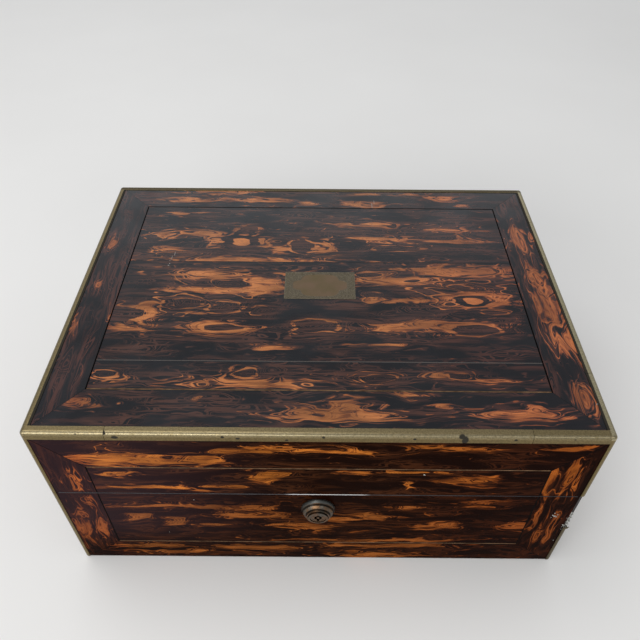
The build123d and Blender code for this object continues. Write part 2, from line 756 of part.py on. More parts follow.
# the drawer's front is cut out of the right face, so that the figure runs across it
with BuildPart() as drawer_opening:
    block((carcass_x - 1, width), (-inner_y, divider_front), (floor_z, bay_top))
with BuildPart() as drawer_face:
    block((carcass_x - 1, width), drawer_y, drawer_z)
keep(cut_away(base_half(side_shapes["right"][0]), drawer_opening.part), "base_right_veneer")
right_line = cut_away(base_half(side_shapes["right"][1]), drawer_opening.part)
keep(together(base_half(front_line), base_half(side_shapes["left"][1]), right_line.part), "base_stringing")

with BuildPart() as back_leaf:
    with BuildSketch(back_face):
        with Locations((0, (wall_low + wall_high) / 2)):
            Rectangle(2 * (width / 2 - post_leg) - seam, wall_high - wall_low - seam)
    extrude(amount=veneer)
keep(cut_away(base_half(back_leaf.part), base_leaves, main_room), "base_back_veneer")
keep(cut_away(lid_half(back_leaf.part), lid_leaves, main_room), "lid_back_veneer")

top_half_x = width / 2 - rim_top_leg
top_half_y = depth / 2 - rim_top_leg
top_panel = (-depth / 2 + border_front, depth / 2 - border_back)
top_border, top_line = frame_pieces(top_face, top_half_x, -top_half_y, top_half_y, panel_x, *top_panel)
keep(together(top_border), "lid_top_border")
keep(together(top_line, *[lid_half(line) for line in (front_line, side_shapes["left"][1],
                                                      side_shapes["right"][1])]), "lid_stringing")
plate_y = sum(top_panel) / 2
with BuildPart() as lid_top_panel:
    add(panel_piece(top_face, panel_x, *top_panel))
    for each in panel_seams:
        block((-panel_x, panel_x), (each - seam / 2, each + seam / 2), (carcass_z - 1, height),
              mode=Mode.SUBTRACT)
    block((-plate_width / 2, plate_width / 2), (plate_y - plate_depth / 2, plate_y + plate_depth / 2),
          (carcass_z - 1, height), mode=Mode.SUBTRACT)
keep(lid_top_panel, "lid_top_panel")

with BuildPart() as name_plate:
    block((-plate_width / 2, plate_width / 2), (plate_y - plate_depth / 2, plate_y + plate_depth / 2),
          (carcass_z, veneer_z + plate_proud))
keep(name_plate, "name_plate")

# ---------------------------------------------------------------- brass edging
with BuildPart() as rim:
    block((-width / 2, width / 2), (-depth / 2, depth / 2), (height - rim_side_leg, height))
    fillet(rim.edges().filter_by(Axis.Z), brass_radius)
    fillet(rim.edges().group_by(Axis.Z)[-1], brass_radius)
    block((-carcass_x, carcass_x), (-carcass_y, carcass_y), (height - rim_side_leg - 1, carcass_z),
          mode=Mode.SUBTRACT)
    block((-top_half_x, top_half_x), (-top_half_y, top_half_y), (carcass_z - 1, height + 1),
          mode=Mode.SUBTRACT)
strip_x = width / 2 - corner_reach - brass_joint
strip_y = depth / 2 - corner_reach - brass_joint
rim_z = (height - rim_side_leg - 1, height + 1)
with BuildPart() as rim_corners:
    add(rim.part)
    block((-strip_x - brass_joint, strip_x + brass_joint), (-depth, depth), rim_z, mode=Mode.SUBTRACT)
    block((-width, width), (-strip_y - brass_joint, strip_y + brass_joint), rim_z, mode=Mode.SUBTRACT)
keep(rim_corners, "rim_corners")
with BuildPart() as cross:
    block((-strip_x, strip_x), (-depth, depth), rim_z)
    block((-width, width), (-strip_y, strip_y), rim_z)
with BuildPart() as rim_strips:
    add(rim.part)
    add(cross.part, mode=Mode.INTERSECT)
keep(rim_strips, "rim_strips")


def corner_post(side_x, side_y, low, high):
    """An upright angle strip on one corner of the carcass."""
    with BuildPart() as post:
        block(sorted((side_x * carcass_x, side_x * width / 2)),
              sorted((side_y * (depth / 2 - post_leg), side_y * depth / 2)), (low, high))
        block(sorted((side_x * (width / 2 - post_leg), side_x * width / 2)),
              sorted((side_y * carcass_y, side_y * depth / 2)), (low, high))
        outer = post.edges().filter_by(Axis.Z).sort_by(
            lambda edge: side_x * edge.center().X + side_y * edge.center().Y)[-1]
        fillet(outer, brass_radius)
    return post.part


corners = [(-1, -1), (-1, 1), (1, 1), (1, -1)]
keep(together(*[lid_half(corner_post(x, y, 0, wall_high)) for x, y in corners]), "lid_corner_strips")
keep(together(*[base_half(corner_post(x, y, baize, height)) for x, y in corners[:3]]),
     "base_corner_strips")
keep(together(corner_post(1, -1, baize, broken_post_top)), "broken_corner_strip")

# ---------------------------------------------------------------- drawer and its flush pull
cup_out = cup_width / 2
pull_face = veneer_x
bail_z = pull_z + cup_height / 2 - cup_wall - bail_radius - 0.6
bail_x = pull_face - bail_radius - 0.5
with BuildPart() as pull_recess:
    block((pull_face - pull_plate, pull_face + 1), (pull_y - pull_width / 2, pull_y + pull_width / 2),
          (pull_z - pull_height / 2, pull_z + pull_height / 2))
    block((pull_face - cup_depth, pull_face), (pull_y - cup_out, pull_y + cup_out),
          (pull_z - cup_height / 2, pull_z + cup_height / 2))

with BuildPart() as pull_plate_part:
    block((pull_face - pull_plate, pull_face), (pull_y - pull_width / 2, pull_y + pull_width / 2),
          (pull_z - pull_height / 2, pull_z + pull_height / 2))
    block((pull_face - cup_depth, pull_face), (pull_y - cup_out, pull_y + cup_out),
          (pull_z - cup_height / 2, pull_z + cup_height / 2))
    block((pull_face - cup_depth + cup_wall, pull_face + 1),
          (pull_y - cup_out + cup_wall, pull_y + cup_out - cup_wall),
          (pull_z - cup_height / 2 + cup_wall, pull_z + cup_height / 2 - cup_wall), mode=Mode.SUBTRACT)
    with Locations(Location((bail_x, pull_y, bail_z), (90, 0, 0))):
        Cylinder(bail_pin_radius + bail_pin_play, cup_width, mode=Mode.SUBTRACT)
keep(pull_plate_part, "pull_plate")

with BuildPart() as pull_bail:
    arm = bail_width / 2
    bend = 2.4
    foot = bail_z - bail_drop
    with BuildLine() as bail_path:
        FilletPolyline((bail_x, pull_y - arm, bail_z + bail_radius * 0.6), (bail_x, pull_y - arm, foot),
                       (bail_x, pull_y + arm, foot), (bail_x, pull_y + arm, bail_z + bail_radius * 0.6),
                       radius=bend)
    with BuildSketch(Plane(origin=bail_path.line @ 0, z_dir=bail_path.line % 0)):
        Circle(bail_radius)
    sweep()
    pin_length = cup_out - cup_wall * 0.2 - arm
    for side in (-1, 1):
        with Locations(Location((bail_x, pull_y + side * (arm + pin_length / 2), bail_z), (90, 0, 0))):
            Cylinder(bail_pin_radius, pin_length)
keep(pull_bail, "pull_bail")

drawer_back_x = -inner_x + drawer_stop_gap
side_low = drawer_z[0]
side_high = drawer_z[1] - drawer_side_drop
side_inner = (drawer_y[0] + drawer_side, drawer_y[1] - drawer_side)
drawer_bottom_z = (side_low + groove_lift, side_low + groove_lift + drawer_floor)
with BuildPart() as drawer_bottom:
    block((drawer_back_x, inner_x + groove_depth),
          (side_inner[0] - groove_depth, side_inner[1] + groove_depth), drawer_bottom_z)
keep(drawer_bottom, "drawer_bottom")

with BuildPart() as drawer_front:
    block((inner_x, carcass_x), drawer_y, drawer_z)
keep(cut_away(drawer_front.part, drawer_bottom.part, pull_recess.part), "drawer_front")

with BuildPart() as drawer_sides:
    block((drawer_back_x, inner_x), (drawer_y[0], side_inner[0]), (side_low, side_high))
    block((drawer_back_x, inner_x), (side_inner[1], drawer_y[1]), (side_low, side_high))
with BuildPart() as drawer_back:
    block((drawer_back_x, drawer_back_x + drawer_side), side_inner, (drawer_bottom_z[1], side_high))
keep(together(cut_away(drawer_sides.part, drawer_bottom.part).part, drawer_back.part), "drawer_walls")

with BuildPart() as drawer_veneer:
    add(side_shapes["right"][0])
    add(side_shapes["right"][1])
    add(drawer_face.part, mode=Mode.INTERSECT)
    add(pull_recess.part, mode=Mode.SUBTRACT)
keep(drawer_veneer, "drawer_veneer")
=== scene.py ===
# %% [markdown]
# # A writing box in figured wood, dressed in Blender
# The solids of the box arrive finished: every board, leaf of veneer, hinge and screw is already at its real
# size and place. What is left is how each surface looks, and the small things that wear and repair have
# added. The file goes from the outside in: the view, the woods, the metals, the leather and cloth, then the
# small pieces that are modelled here, and last the floor and the light.

# %% Load the box
import math

import bpy
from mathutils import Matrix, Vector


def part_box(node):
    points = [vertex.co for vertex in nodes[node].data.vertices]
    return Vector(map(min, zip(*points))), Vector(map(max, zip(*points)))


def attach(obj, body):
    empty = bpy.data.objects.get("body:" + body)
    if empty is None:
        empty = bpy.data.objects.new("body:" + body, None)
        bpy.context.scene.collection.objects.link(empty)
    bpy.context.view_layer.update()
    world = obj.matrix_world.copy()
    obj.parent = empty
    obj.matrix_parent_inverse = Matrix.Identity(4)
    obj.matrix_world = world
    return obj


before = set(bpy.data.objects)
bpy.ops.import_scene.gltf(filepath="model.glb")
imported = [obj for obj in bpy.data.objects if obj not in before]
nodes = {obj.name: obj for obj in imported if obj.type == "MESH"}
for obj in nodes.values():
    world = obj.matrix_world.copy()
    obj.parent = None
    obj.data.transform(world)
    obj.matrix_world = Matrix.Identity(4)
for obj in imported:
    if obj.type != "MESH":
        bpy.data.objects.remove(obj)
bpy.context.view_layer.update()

mm = 0.001
half_width, half_depth, top_height = (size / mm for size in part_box("rim_strips")[1])
box_size = [round(size) for size in (2 * half_width, 2 * half_depth, top_height)]
print("box:", len(nodes), "nodes,", box_size, "mm")

# %% [markdown]
# ## The view
# The box is seen from above its front edge, by someone standing at the table. The camera's height, tilt and
# lens were worked out from the slant of the box's own edges, so that they are true sizes and not a guess.

# %% Camera
from mathutils import Matrix, Vector

eye = Vector((0.5, -351.0, 469.3)) * mm
look_down = math.radians(44.41)
turn_left = math.radians(0.04)
head_tilt = math.radians(0.42)
lens_mm = 35.6
sensor_mm = 36.0

camera = bpy.data.objects.new("table_view", bpy.data.cameras.new("table_view"))
bpy.context.scene.collection.objects.link(camera)
camera.data.lens = lens_mm
camera.data.sensor_width = sensor_mm
turned = Matrix.Rotation(turn_left, 4, "Z") @ Matrix.Rotation(math.pi / 2 - look_down, 4, "X")
camera.matrix_world = Matrix.Translation(eye) @ turned @ Matrix.Rotation(head_tilt, 4, "Z")
bpy.context.scene.camera = camera
print("camera:", [round(c, 3) for c in camera.location])

# %% [markdown]
# ## Shader sums that read as sums
# The finishes here are long sums of noise and of places on the box. Written node by node they are hard to
# follow, so a small class holds a node's output, and `+`, `*` or `<` between such wires and plain numbers
# adds the node that does it, in the tree that the wire belongs to. The functions below do the same for
# noise, blends and vectors.

# %% Wires
def sign(operation):
    """What a sign between a wire and another value does."""
    return lambda first, second: calc(operation, first, second)


class Wire:
    """A node's output, for use in sums."""

    __add__ = sign("ADD")
    __sub__ = sign("SUBTRACT")
    __mul__ = sign("MULTIPLY")
    __truediv__ = sign("DIVIDE")
    __gt__ = sign("GREATER_THAN")
    __lt__ = sign("LESS_THAN")

    def __init__(self, socket):
        self.socket = socket

    def __rsub__(self, other):
        return calc("SUBTRACT", other, self)

    def __abs__(self):
        return calc("ABSOLUTE", self)


def feed(socket, value):
    """Sets a socket, or links it when the value is a wire."""
    if isinstance(value, Wire):
        socket.id_data.links.new(value.socket, socket)
    else:
        socket.default_value = value


def put(kind, inputs, out=0, **settings):
    """Adds a shader node to the tree that its inputs come from, and returns one of its outputs."""
    tree = next(value.socket.id_data for value in inputs.values() if isinstance(value, Wire))
    made = tree.nodes.new("ShaderNode" + kind)
    for name, value in settings.items():
        setattr(made, name, value)
    for place, value in inputs.items():
        feed(made.inputs[place], value)
    return Wire(made.outputs[out])


print("a wire adds, subtracts, multiplies, divides and compares")


# %% Arithmetic
def calc(operation, a, b=0.0, c=0.0):
    """One step of arithmetic."""
    return put("Math", {0: a, 1: b, 2: c}, operation=operation)


def larger(a, b):
    """The larger of two numbers."""
    return calc("MAXIMUM", a, b)


def smaller(a, b):
    """The smaller of two numbers."""
    return calc("MINIMUM", a, b)


def add_up(start, *terms):
    """start plus each value times its weight."""
    for value, weight in terms:
        start = put("Math", {0: value, 1: weight, 2: start}, operation="MULTIPLY_ADD")
    return start


def rise(value, start, end):
    """0 below start, 1 above end, smooth between. It falls where start is the larger."""
    return put("MapRange", {"Value": value, "From Min": start, "From Max": end},
               interpolation_type="SMOOTHSTEP")


def band(value, low_end, high_end, soft=0.05):
    """1 between two values and 0 outside them."""
    return rise(value, low_end - soft, low_end + soft) * rise(value, high_end + soft, high_end - soft)


def vector_calc(operation, a, b=(0, 0, 0), out=0):
    """One step of arithmetic on vectors."""
    return put("VectorMath", {0: a, 1: b}, out, operation=operation)


def scaled(vector, factor):
    """A vector times a number."""
    return put("VectorMath", {0: vector, "Scale": factor}, operation="SCALE")


def split(vector):
    """The three numbers of a vector."""
    return [Wire(socket) for socket in put("SeparateXYZ", {0: vector}).socket.node.outputs]


def join(x, y, z):
    """A vector from three numbers."""
    return put("CombineXYZ", {0: x, 1: y, 2: z})


print("arithmetic on wires: larger, smaller, add_up, rise, band, split, join")

# %% Blends, noise and bumps
def mix(share, a, b, way="MIX"):
    """Blends two colours."""
    a, b = (value if isinstance(value, Wire) else (*value, 1.0) for value in (a, b))
    return put("Mix", {0: share, 6: a, 7: b}, 2, data_type="RGBA", blend_type=way)


def choose(share, a, b):
    """Blends two numbers."""
    return put("Mix", {0: share, 2: a, 3: b})


def toned(colour, tone):
    """A colour made darker or lighter."""
    return mix(1.0, colour, join(tone, tone, tone), "MULTIPLY")


def cloud(where, scale=1.0, detail=2.0, rough=0.5, out=0, wobble=0.0, per_mm=None):
    """Soft noise at a place, about 0 to 1 with 0.5 in the middle. per_mm is how fast it changes each way."""
    if per_mm:
        where = vector_calc("MULTIPLY", where, per_mm)
    return put("TexNoise", {"Vector": where, "Scale": scale, "Detail": detail, "Roughness": rough,
                            "Distortion": wobble}, out)


def stripes(along, scale, detail=2.0):
    """Noise of one number, for lines that follow where that number is even."""
    return put("TexNoise", {"W": along * scale, "Scale": 1.0, "Detail": detail, "Roughness": 0.5},
               noise_dimensions="1D")


def bump(height, distance, strength=1.0):
    """Turns a height in 0 to 1 into a normal. distance is the height's depth in millimetres."""
    return put("Bump", {"Height": height, "Distance": distance * mm, "Strength": strength})


print("effects: mix, choose, toned, cloud, stripes, bump")

# %% [markdown]
# ## Node groups and materials
# A shared effect is a node group with named inputs, made once and then placed in each material with its own
# values. A material has one shader. What is even all over stays a plain value on the shader, and only what
# changes from place to place is linked to it.

# %% Groups and materials
spot = (0, 0, 0)  # a vector socket, before it is linked
black = (0, 0, 0, 1)


def make_group(name, inputs, steps):
    """A node group. steps takes the inputs as wires, by name, and returns what the group gives, by name."""
    group = bpy.data.node_groups.new(name, "ShaderNodeTree")
    for label, value in inputs.items():
        kind = "Float" if isinstance(value, float) else {3: "Vector", 4: "Color"}[len(value)]
        socket = group.interface.new_socket(label, in_out="INPUT", socket_type="NodeSocket" + kind)
        socket.default_value = value
    made = steps({socket.name: Wire(socket) for socket in group.nodes.new("NodeGroupInput").outputs})
    for label, wire in made.items():
        kind = {"VALUE": "Float", "VECTOR": "Vector", "RGBA": "Color"}[wire.socket.type]
        group.interface.new_socket(label, in_out="OUTPUT", socket_type="NodeSocket" + kind)
    ends = group.nodes.new("NodeGroupOutput").inputs
    for label, wire in made.items():
        feed(ends[label], wire)
    print(name + ":", len(group.nodes), "nodes")
    return group


def place_group(group, inputs):
    """Puts a group beside its inputs and returns its outputs as wires."""
    return {socket.name: Wire(socket) for socket in put("Group", inputs, node_tree=group).socket.node.outputs}


def new_material(name, roughness=0.5, metallic=0.0, **constants):
    """A material, the place on it in millimetres of the box's own frame, and its shader's sockets."""
    material = bpy.data.materials.new(name)
    material.use_nodes = True
    tree = material.node_tree
    shader = tree.nodes["Principled BSDF"].inputs
    finish(shader, Roughness=roughness, Metallic=metallic, **constants)
    here = Wire(tree.nodes.new("ShaderNodeTexCoord").outputs["Object"])
    return material, scaled(here, 1 / mm), shader


def finish(shader, **values):
    """Sets or links the shader's sockets, each named with _ for a space."""
    for label, value in values.items():
        feed(shader[label.replace("_", " ")], value)


def dress(material, *names):
    """Gives CAD nodes one material."""
    for name in names:
        mesh = nodes[name].data
        mesh.materials.clear()
        mesh.materials.append(material)


# %% [markdown]
# ## How the veneer is laid
# Each face has a plain panel inside a border of four strips that meet in mitres. The grain runs along the
# panel and along each strip, so it turns by a quarter at every mitre. One group works out, for any point of a
# face, which leaf of veneer it is on and how far along and across that leaf's grain it lies. Every leaf also
# gets a number in the third direction, which makes its pattern its own.

# %% Leaf layout group
leaf_step = 100.0  # distance between two leaves' patterns
far_from_mitres = 99.0
layout_sizes = ("Panel P", "Outer P", "Panel Low", "Outer Low", "Panel High", "Outer High", "First Seam",
                "Second Seam")


def layout_steps(given):
    """The leaf and the place on it, and how far the nearest mitre is."""
    p, q = given["P"], given["Q"]
    sizes = (given[name] for name in layout_sizes)
    panel_p, outer_p, panel_low, outer_low, panel_high, outer_high, *seams = sizes
    border_width = outer_p - panel_p
    across = (abs(p) - panel_p) / border_width
    above = (q - panel_high) / (outer_high - panel_high)
    end = larger((panel_low - q) / (panel_low - outer_low), above)
    side = across > larger(end, 0.0)
    border = larger(across, end) > 0.0
    panel_leaf = (q > seams[0]) + (q > seams[1]) + 5.0
    end_leaf = (above > 0.0) + 3.0
    leaf = choose(side, choose(border, panel_leaf, end_leaf), (p > 0.0) + 1.0) * leaf_step
    point = put("Mix", {0: side, 4: join(p, q, leaf), 5: join(q, p, leaf)}, 1, data_type="VECTOR")
    return {"Point": point, "Mitre": choose(border, far_from_mitres, abs(across - end) * border_width)}


leaf_layout = make_group("leaf_layout", dict.fromkeys(("P", "Q") + layout_sizes, 0.0), layout_steps)

# %% [markdown]
# ## The figured wood
# This wood is near black with flame-like streaks and eyes of orange brown. In the log these are layers of
# growth that swell over small bumps, so a flat cut through them shows closed rings. The group does the same:
# a height that climbs steadily across the grain is bent by noise, and the colour depends only on that
# height. Large patches of the light wood are placed one by one, as ellipses at real places, and they bend the
# height too, so that the streaks run round them.


# %% Patch group
def patch_steps(given):
    """1 in the middle of an ellipse and 0.5 at its edge, or what came before where that is more."""
    gap = vector_calc("DIVIDE", vector_calc("SUBTRACT", given["Point"], given["Centre"]), given["Half"])
    far = vector_calc("DOT_PRODUCT", gap, gap, out=1)
    return {"After": larger(given["Before"], calc("DIVIDE", 1.0, far + 1.0))}


figure_patch = make_group("figure_patch", {"Point": spot, "Centre": spot, "Half": (1, 1, 1), "Before": 0.0},
                          patch_steps)


# %% Bent grain group
def bend_steps(given):
    """Two sizes of wave, long along the grain and short across it."""
    bent = given["Point"]
    for per_mm, reach in (((1 / 46, 1 / 13, 0.37), (22, 7.5, 0)), ((1 / 13, 1 / 4.2, 0.61), (6.5, 1.7, 0))):
        wave = cloud(given["Point"], detail=1.5, out=1, per_mm=per_mm)
        shift = vector_calc("MULTIPLY", vector_calc("SUBTRACT", wave, (0.5, 0.5, 0.5)), reach)
        bent = vector_calc("ADD", bent, scaled(shift, given["Bend"]))
    return {"Point": bent}


grain_bend = make_group("bent_grain", {"Point": spot, "Bend": 1.0}, bend_steps)


# %% Figured wood group
def wood_steps(given):
    """Streaks, patches and fibres, from the bent growth layers."""
    point, bent = given["Point"], given["Bent"]
    figure, knot, ring, eye = (given[name] for name in ("Figure", "Knot", "Ring", "Eye"))
    swell = cloud(bent, detail=1.5, rough=0.4, per_mm=(1 / 34, 1 / 10, 0.29))
    layers = add_up(split(point)[2] * 0.43, (split(bent)[1], 1 / 11), (swell, 7.0), (figure, 2.6),
                    (knot, -4.5), (ring, 7.0), (eye, 7.0))
    broad = stripes(layers, 1.2)
    narrow = stripes(layers + 31.0, 4.2, 1.5)
    lens = cloud(bent, detail=1.0, rough=0.4, per_mm=(1 / 13, 1 / 2.7, 0.83))
    drift = cloud(bent, per_mm=(1 / 40, 1 / 1.9, 0.41))
    fibre = cloud(point, detail=3.0, rough=0.65, per_mm=(1 / 16, 1 / 0.55, 0.7))
    warmth = cloud(bent, detail=1.0, per_mm=(1 / 42, 1 / 15, 0.71))
    zone = larger(rise(swell, 0.40, 0.62), rise(given["Haze"], 0.35, 0.6))
    zone = larger(zone, rise(ring, 0.30, 0.48))
    noises = ((broad, 1.1), (narrow, 0.5), (lens, 0.9), (drift, 0.3), (fibre, 0.08))
    middle = given["Amount"] + -0.5 * sum(weight for noise, weight in noises)
    ring_line = choose(rise(drift, 0.40, 0.58), 0.12, 0.46)
    light = add_up(smaller(figure, 0.72) + middle, *noises, (knot, -0.8),
                   (rise(narrow, 0.60, 0.68) * zone, 0.16), (band(ring, 0.45, 0.58, 0.03), ring_line),
                   (rise(ring, 0.54, 0.64), -0.9), (band(eye, 0.38, 0.64), -1.0),
                   (rise(eye, 0.62, 0.70), 0.40))
    lines = larger(rise(drift, 0.47, 0.60), rise(narrow, 0.50, 0.58)) * zone
    dark = mix(larger(rise(light, 0.30, 0.48) * 0.85, lines), given["Ground"], given["Streak"])
    pale = mix(rise(light, 0.52, 0.80), given["Light"], given["Glow"])
    growth_line = rise(abs(narrow - 0.46), 0.035, 0.0)
    pale = mix(growth_line * 0.7, pale, given["Streak"])
    pale = toned(pale, choose(rise(warmth, 0.34, 0.64), 0.62, 1.12))
    colour = mix(rise(light, 0.495, 0.53), dark, pale)
    return {"Color": toned(colour, choose(rise(fibre, 0.3, 0.7), 0.74, 1.2)), "Height": fibre}


mark_kinds = ("Figure", "Knot", "Ring", "Eye", "Haze")
colour_kinds = ("Ground", "Streak", "Light", "Glow")
wood_inputs = {"Point": spot, "Bent": spot, "Amount": 0.0}
wood_inputs.update(dict.fromkeys(mark_kinds, 0.0), **dict.fromkeys(colour_kinds, black))
figured_wood = make_group("figured_wood", wood_inputs, wood_steps)

# %% [markdown]
# ## Where the light patches lie
# Each patch is the place of its middle on the face and its half length each way, all in millimetres, listed
# under its leaf. Knots are patches of the dark wood, rings and eyes are the closed lines round a bump, and
# a haze is a zone of brown streaks. On the top the two numbers run to the right and to the back, and on the
# walls they run to the right and up.

# %% Marks of the top
left_strip, right_strip, lower_strip, upper_strip, panel, middle_panel, back_panel = range(1, 8)
top_scratches = {
    back_panel: [(-116, 28, 0.3, 2.5), (-115, 33, 0.3, 2.5), (-113.5, 38, 0.3, 2.5)],
    upper_strip: [(44, 106, 0.4, 4), (46, 111, 0.3, 3)]}
top_border_marks = {
    "Figure": {
        upper_strip: [
            (-88, 125, 28, 4), (-110, 112, 22, 3), (-51, 112, 27, 4), (-8, 108, 10, 5), (37, 124, 12, 2),
            (34, 108, 26, 4), (105, 117, 14, 4), (124, 105, 7, 3), (74, 123, 16, 1.6)],
        right_strip: [
            (160, 61, 7, 14), (162, 16, 6, 20), (164, -18, 8, 22), (166, -52, 9, 22), (164, -99, 8, 14),
            (171, 63, 3, 5)],
        lower_strip: [
            (-147, -109, 9, 3.6), (-11, -116, 15, 5.5), (14, -112, 9, 8), (30, -117, 15, 4.5),
            (8, -118, 30, 3.5), (123, -116, 26, 3.6), (132, -112, 8, 4.2), (75, -109, 7, 2.2),
            (61, -100, 15, 1.6), (-75, -104, 3, 2), (-125, -108, 4, 1.5)],
        left_strip: [(-165, 50, 2.2, 5), (-165, 1, 1.6, 4), (-172, -42, 2, 6), (-149, -33, 1.8, 6)]},
    "Knot": {
        right_strip: [(163, -84, 3, 5)],
        upper_strip: [(0, 112, 4, 3)],
        lower_strip: [(-120, -104, 9, 3)]},
    "Haze": {
        left_strip: [
            (-165, 50, 6, 14), (-165, 1, 7, 14), (-172, -42, 6, 18), (-166, -78, 5, 18), (-149, 20, 4, 40)],
        lower_strip: [(-60, -114, 50, 5)],
        upper_strip: [(-140, 112, 20, 6)]},
    "Scratch": top_scratches}
top_panel_marks = {
    "Figure": {
        back_panel: [
            (-64, 57, 9, 8), (4, 46, 6, 7), (-30, 44, 7, 4), (-126, 61, 15, 5), (-122, 45, 15, 5),
            (-84, 57, 7, 6), (-92, 64, 16, 3), (-45, 53, 5, 5), (-59, 28, 62, 5), (38, 78, 18, 2.5),
            (109, 72, 17, 2), (50, 58, 22, 3), (-118, 92, 14, 1.6), (110, 57, 16, 2.5)],
        middle_panel: [
            (-85, 12, 29, 6), (-86, -4, 50, 5), (-45, -1, 20, 10), (98, 20, 46, 6), (62, 8, 30, 5),
            (113, -13, 26, 8), (55, -14, 30, 3), (75, -40, 42, 6), (-122, -31, 5, 14), (-133, -45, 12, 2.5),
            (-70, -44, 19, 6), (4, -37, 12, 2.5), (-33, -62, 11, 2.4), (42, -60, 14, 1.4),
            (-88, -28, 6, 2.5)],
        panel: [
            (-50, -93, 38, 4.5), (-46, -84, 8, 3), (-125, -88, 14, 3), (75, -86, 9, 1.6),
            (112, -88, 12, 1.8)]},
    "Knot": {
        back_panel: [(-137, 52, 8, 7)],
        middle_panel: [
            (-64, 3, 9, 2), (50, -10, 9, 2), (-138, 1, 14, 7), (-18, -24, 12, 6), (20, -30, 22, 5)],
        panel: [(-68, -93, 3, 2), (-28, -82, 7, 3), (-110, -84, 8, 3)]},
    "Ring": {
        middle_panel: [
            (-147, -31, 26, 11), (-97, -31, 6, 2.8), (-67, -43, 13, 4.2), (-99, -19, 13, 5),
            (-68, -23, 14, 5.5), (-40, -26, 11, 4.5), (-5, -42, 17, 7), (105, 2, 9, 2.5), (37, 15, 9, 2.6),
            (72, 7, 8, 2.4), (34, -9, 8, 3), (95, -18, 5, 2.2), (125, -27, 9, 3), (105, -44, 15, 7)],
        back_panel: [(-13, 48, 11, 9), (-136, 58, 9, 5), (60, 46, 20, 4), (100, 62, 13, 4)],
        panel: [
            (38, -88, 9, 3.6), (87, -86, 7, 3), (-46, -84, 9, 3.6), (-77, -95, 4, 2), (-138, -85, 9, 3)]},
    "Eye": {back_panel: [(-64, 54, 12, 7.5)], middle_panel: [(112, -14, 10, 4.6)]},
    "Haze": {
        middle_panel: [
            (68, -40, 62, 9), (-90, -18, 40, 12), (-40, -52, 60, 6), (-80, 12, 60, 14), (90, 8, 55, 16)],
        back_panel: [(60, 68, 80, 14), (-60, 40, 80, 10)],
        panel: [(0, -88, 120, 8)]},
    "Scratch": top_scratches}
print("kinds of mark on the top panel:", list(top_panel_marks))

# %% Marks of the front
front_border_marks = {
    "Figure": {
        upper_strip: [
            (-112, 132, 40, 7.5), (-66, 132, 14, 4), (-28, 146, 17, 4), (-52, 141, 22, 2), (59, 149, 10, 3),
            (91, 147, 18, 2.5), (8, 143, 22, 2.6), (151, 149, 12, 1.6)],
        left_strip: [
            (-157, 106, 5, 9), (-155, 79, 5, 8), (-168, 42, 4.5, 15), (-154, 49, 3.5, 14), (-165, 62, 3, 6)],
        right_strip: [
            (150, 111, 3, 13), (160, 118, 2.5, 22), (166, 104, 2, 12), (151, 68, 2.5, 24),
            (158, 40, 2.5, 16), (166, 55, 2, 18)],
        lower_strip: [
            (-123, 18, 30, 2.2), (-47, 18, 24, 4), (45, 20, 50, 2.2), (50, 6, 22, 4), (-100, 10, 24, 1.8)]},
    "Knot": {left_strip: [(-160, 92, 3, 3)], upper_strip: [(-95, 143, 14, 2)]}}
front_panel_marks = {
    "Figure": {
        panel: [
            (-110, 99, 34, 3), (-128, 117, 9, 2.5), (-29.5, 113, 12, 7.5), (-62, 101, 14, 2),
            (58, 120, 20, 2), (99, 112, 12, 5), (63, 105, 4, 5), (24, 118, 16, 2), (-98, 76, 42, 2),
            (-48, 75, 20, 3), (-48, 64, 18, 4), (-125, 61, 10, 3), (-100, 53, 8, 4), (-72, 50, 12, 2),
            (-6, 48, 13, 6), (15, 60, 12, 3.5), (45, 64, 25, 4), (90, 51, 28, 6.5), (138, 51, 12, 7),
            (113, 86, 12, 3.5), (113, 78, 12, 2), (60, 77, 8, 1.6), (-20, 50, 12, 2), (40, 30, 60, 1.8)]},
    "Knot": {panel: [(62, 62, 10, 3), (122, 52, 8, 7), (0, 100, 16, 6), (92, 45, 8, 2)]}}
print("leaves of the front's border:", len(front_border_marks["Figure"]))

# %% Patches of the sides, which only the other views show
side_marks = {
    "Figure": {
        upper_strip: [(-60, 138, 24, 5), (40, 140, 30, 4), (88, 134, 10, 4)],
        lower_strip: [(-70, 14, 26, 3), (30, 16, 30, 4), (85, 12, 14, 4)],
        left_strip: [(-116, 110, 5, 14), (-112, 62, 4, 18)],
        right_strip: [(114, 96, 5, 18), (118, 46, 4, 14)],
        panel: [
            (-62, 108, 24, 5), (10, 112, 18, 4), (66, 104, 20, 5), (-40, 84, 36, 3), (40, 82, 24, 4),
            (-80, 62, 14, 5), (-10, 56, 28, 4), (62, 56, 22, 6), (30, 36, 34, 3), (-60, 38, 22, 3),
            (86, 76, 8, 4)]},
    "Knot": {panel: [(-62, 108, 8, 2.5), (62, 56, 8, 3), (10, 84, 8, 6), (-20, 60, 8, 5)]}}
back_marks = {"Figure": {panel: [(60, 60, 50, 3), (-70, 110, 60, 3), (-40, 36, 50, 2)]}}
all_marks = (top_border_marks, top_panel_marks, front_border_marks, front_panel_marks, side_marks, back_marks)
print("leaves with patches:", sum(len(by_leaf) for marks in all_marks for by_leaf in marks.values()))

# %% [markdown]
# ## Veneer materials
# One function makes the veneer of any face from that face's two directions, its panel, its patches and its
# colours. The polish is a thin film over dark wood: a plain roughness on the shader, with a little noise so
# that the shine isn't that of plastic. The left edge is redder, and so is the right side, where a warm
# reflection is painted in. A grey sheen is painted on the left of the front, and a few fine scratches show
# on the top.

# %% Sizes and colours of the faces
rim_leg = 5.5  # how far the rim's brass reaches in from its edge
post_leg = 3.6  # and the upright strips
panel_half = 147.0
no_seam = 900.0


def layout(*sizes):
    """A face's layout from its sizes, in the order of the group's inputs."""
    return dict(zip(layout_sizes, sizes))


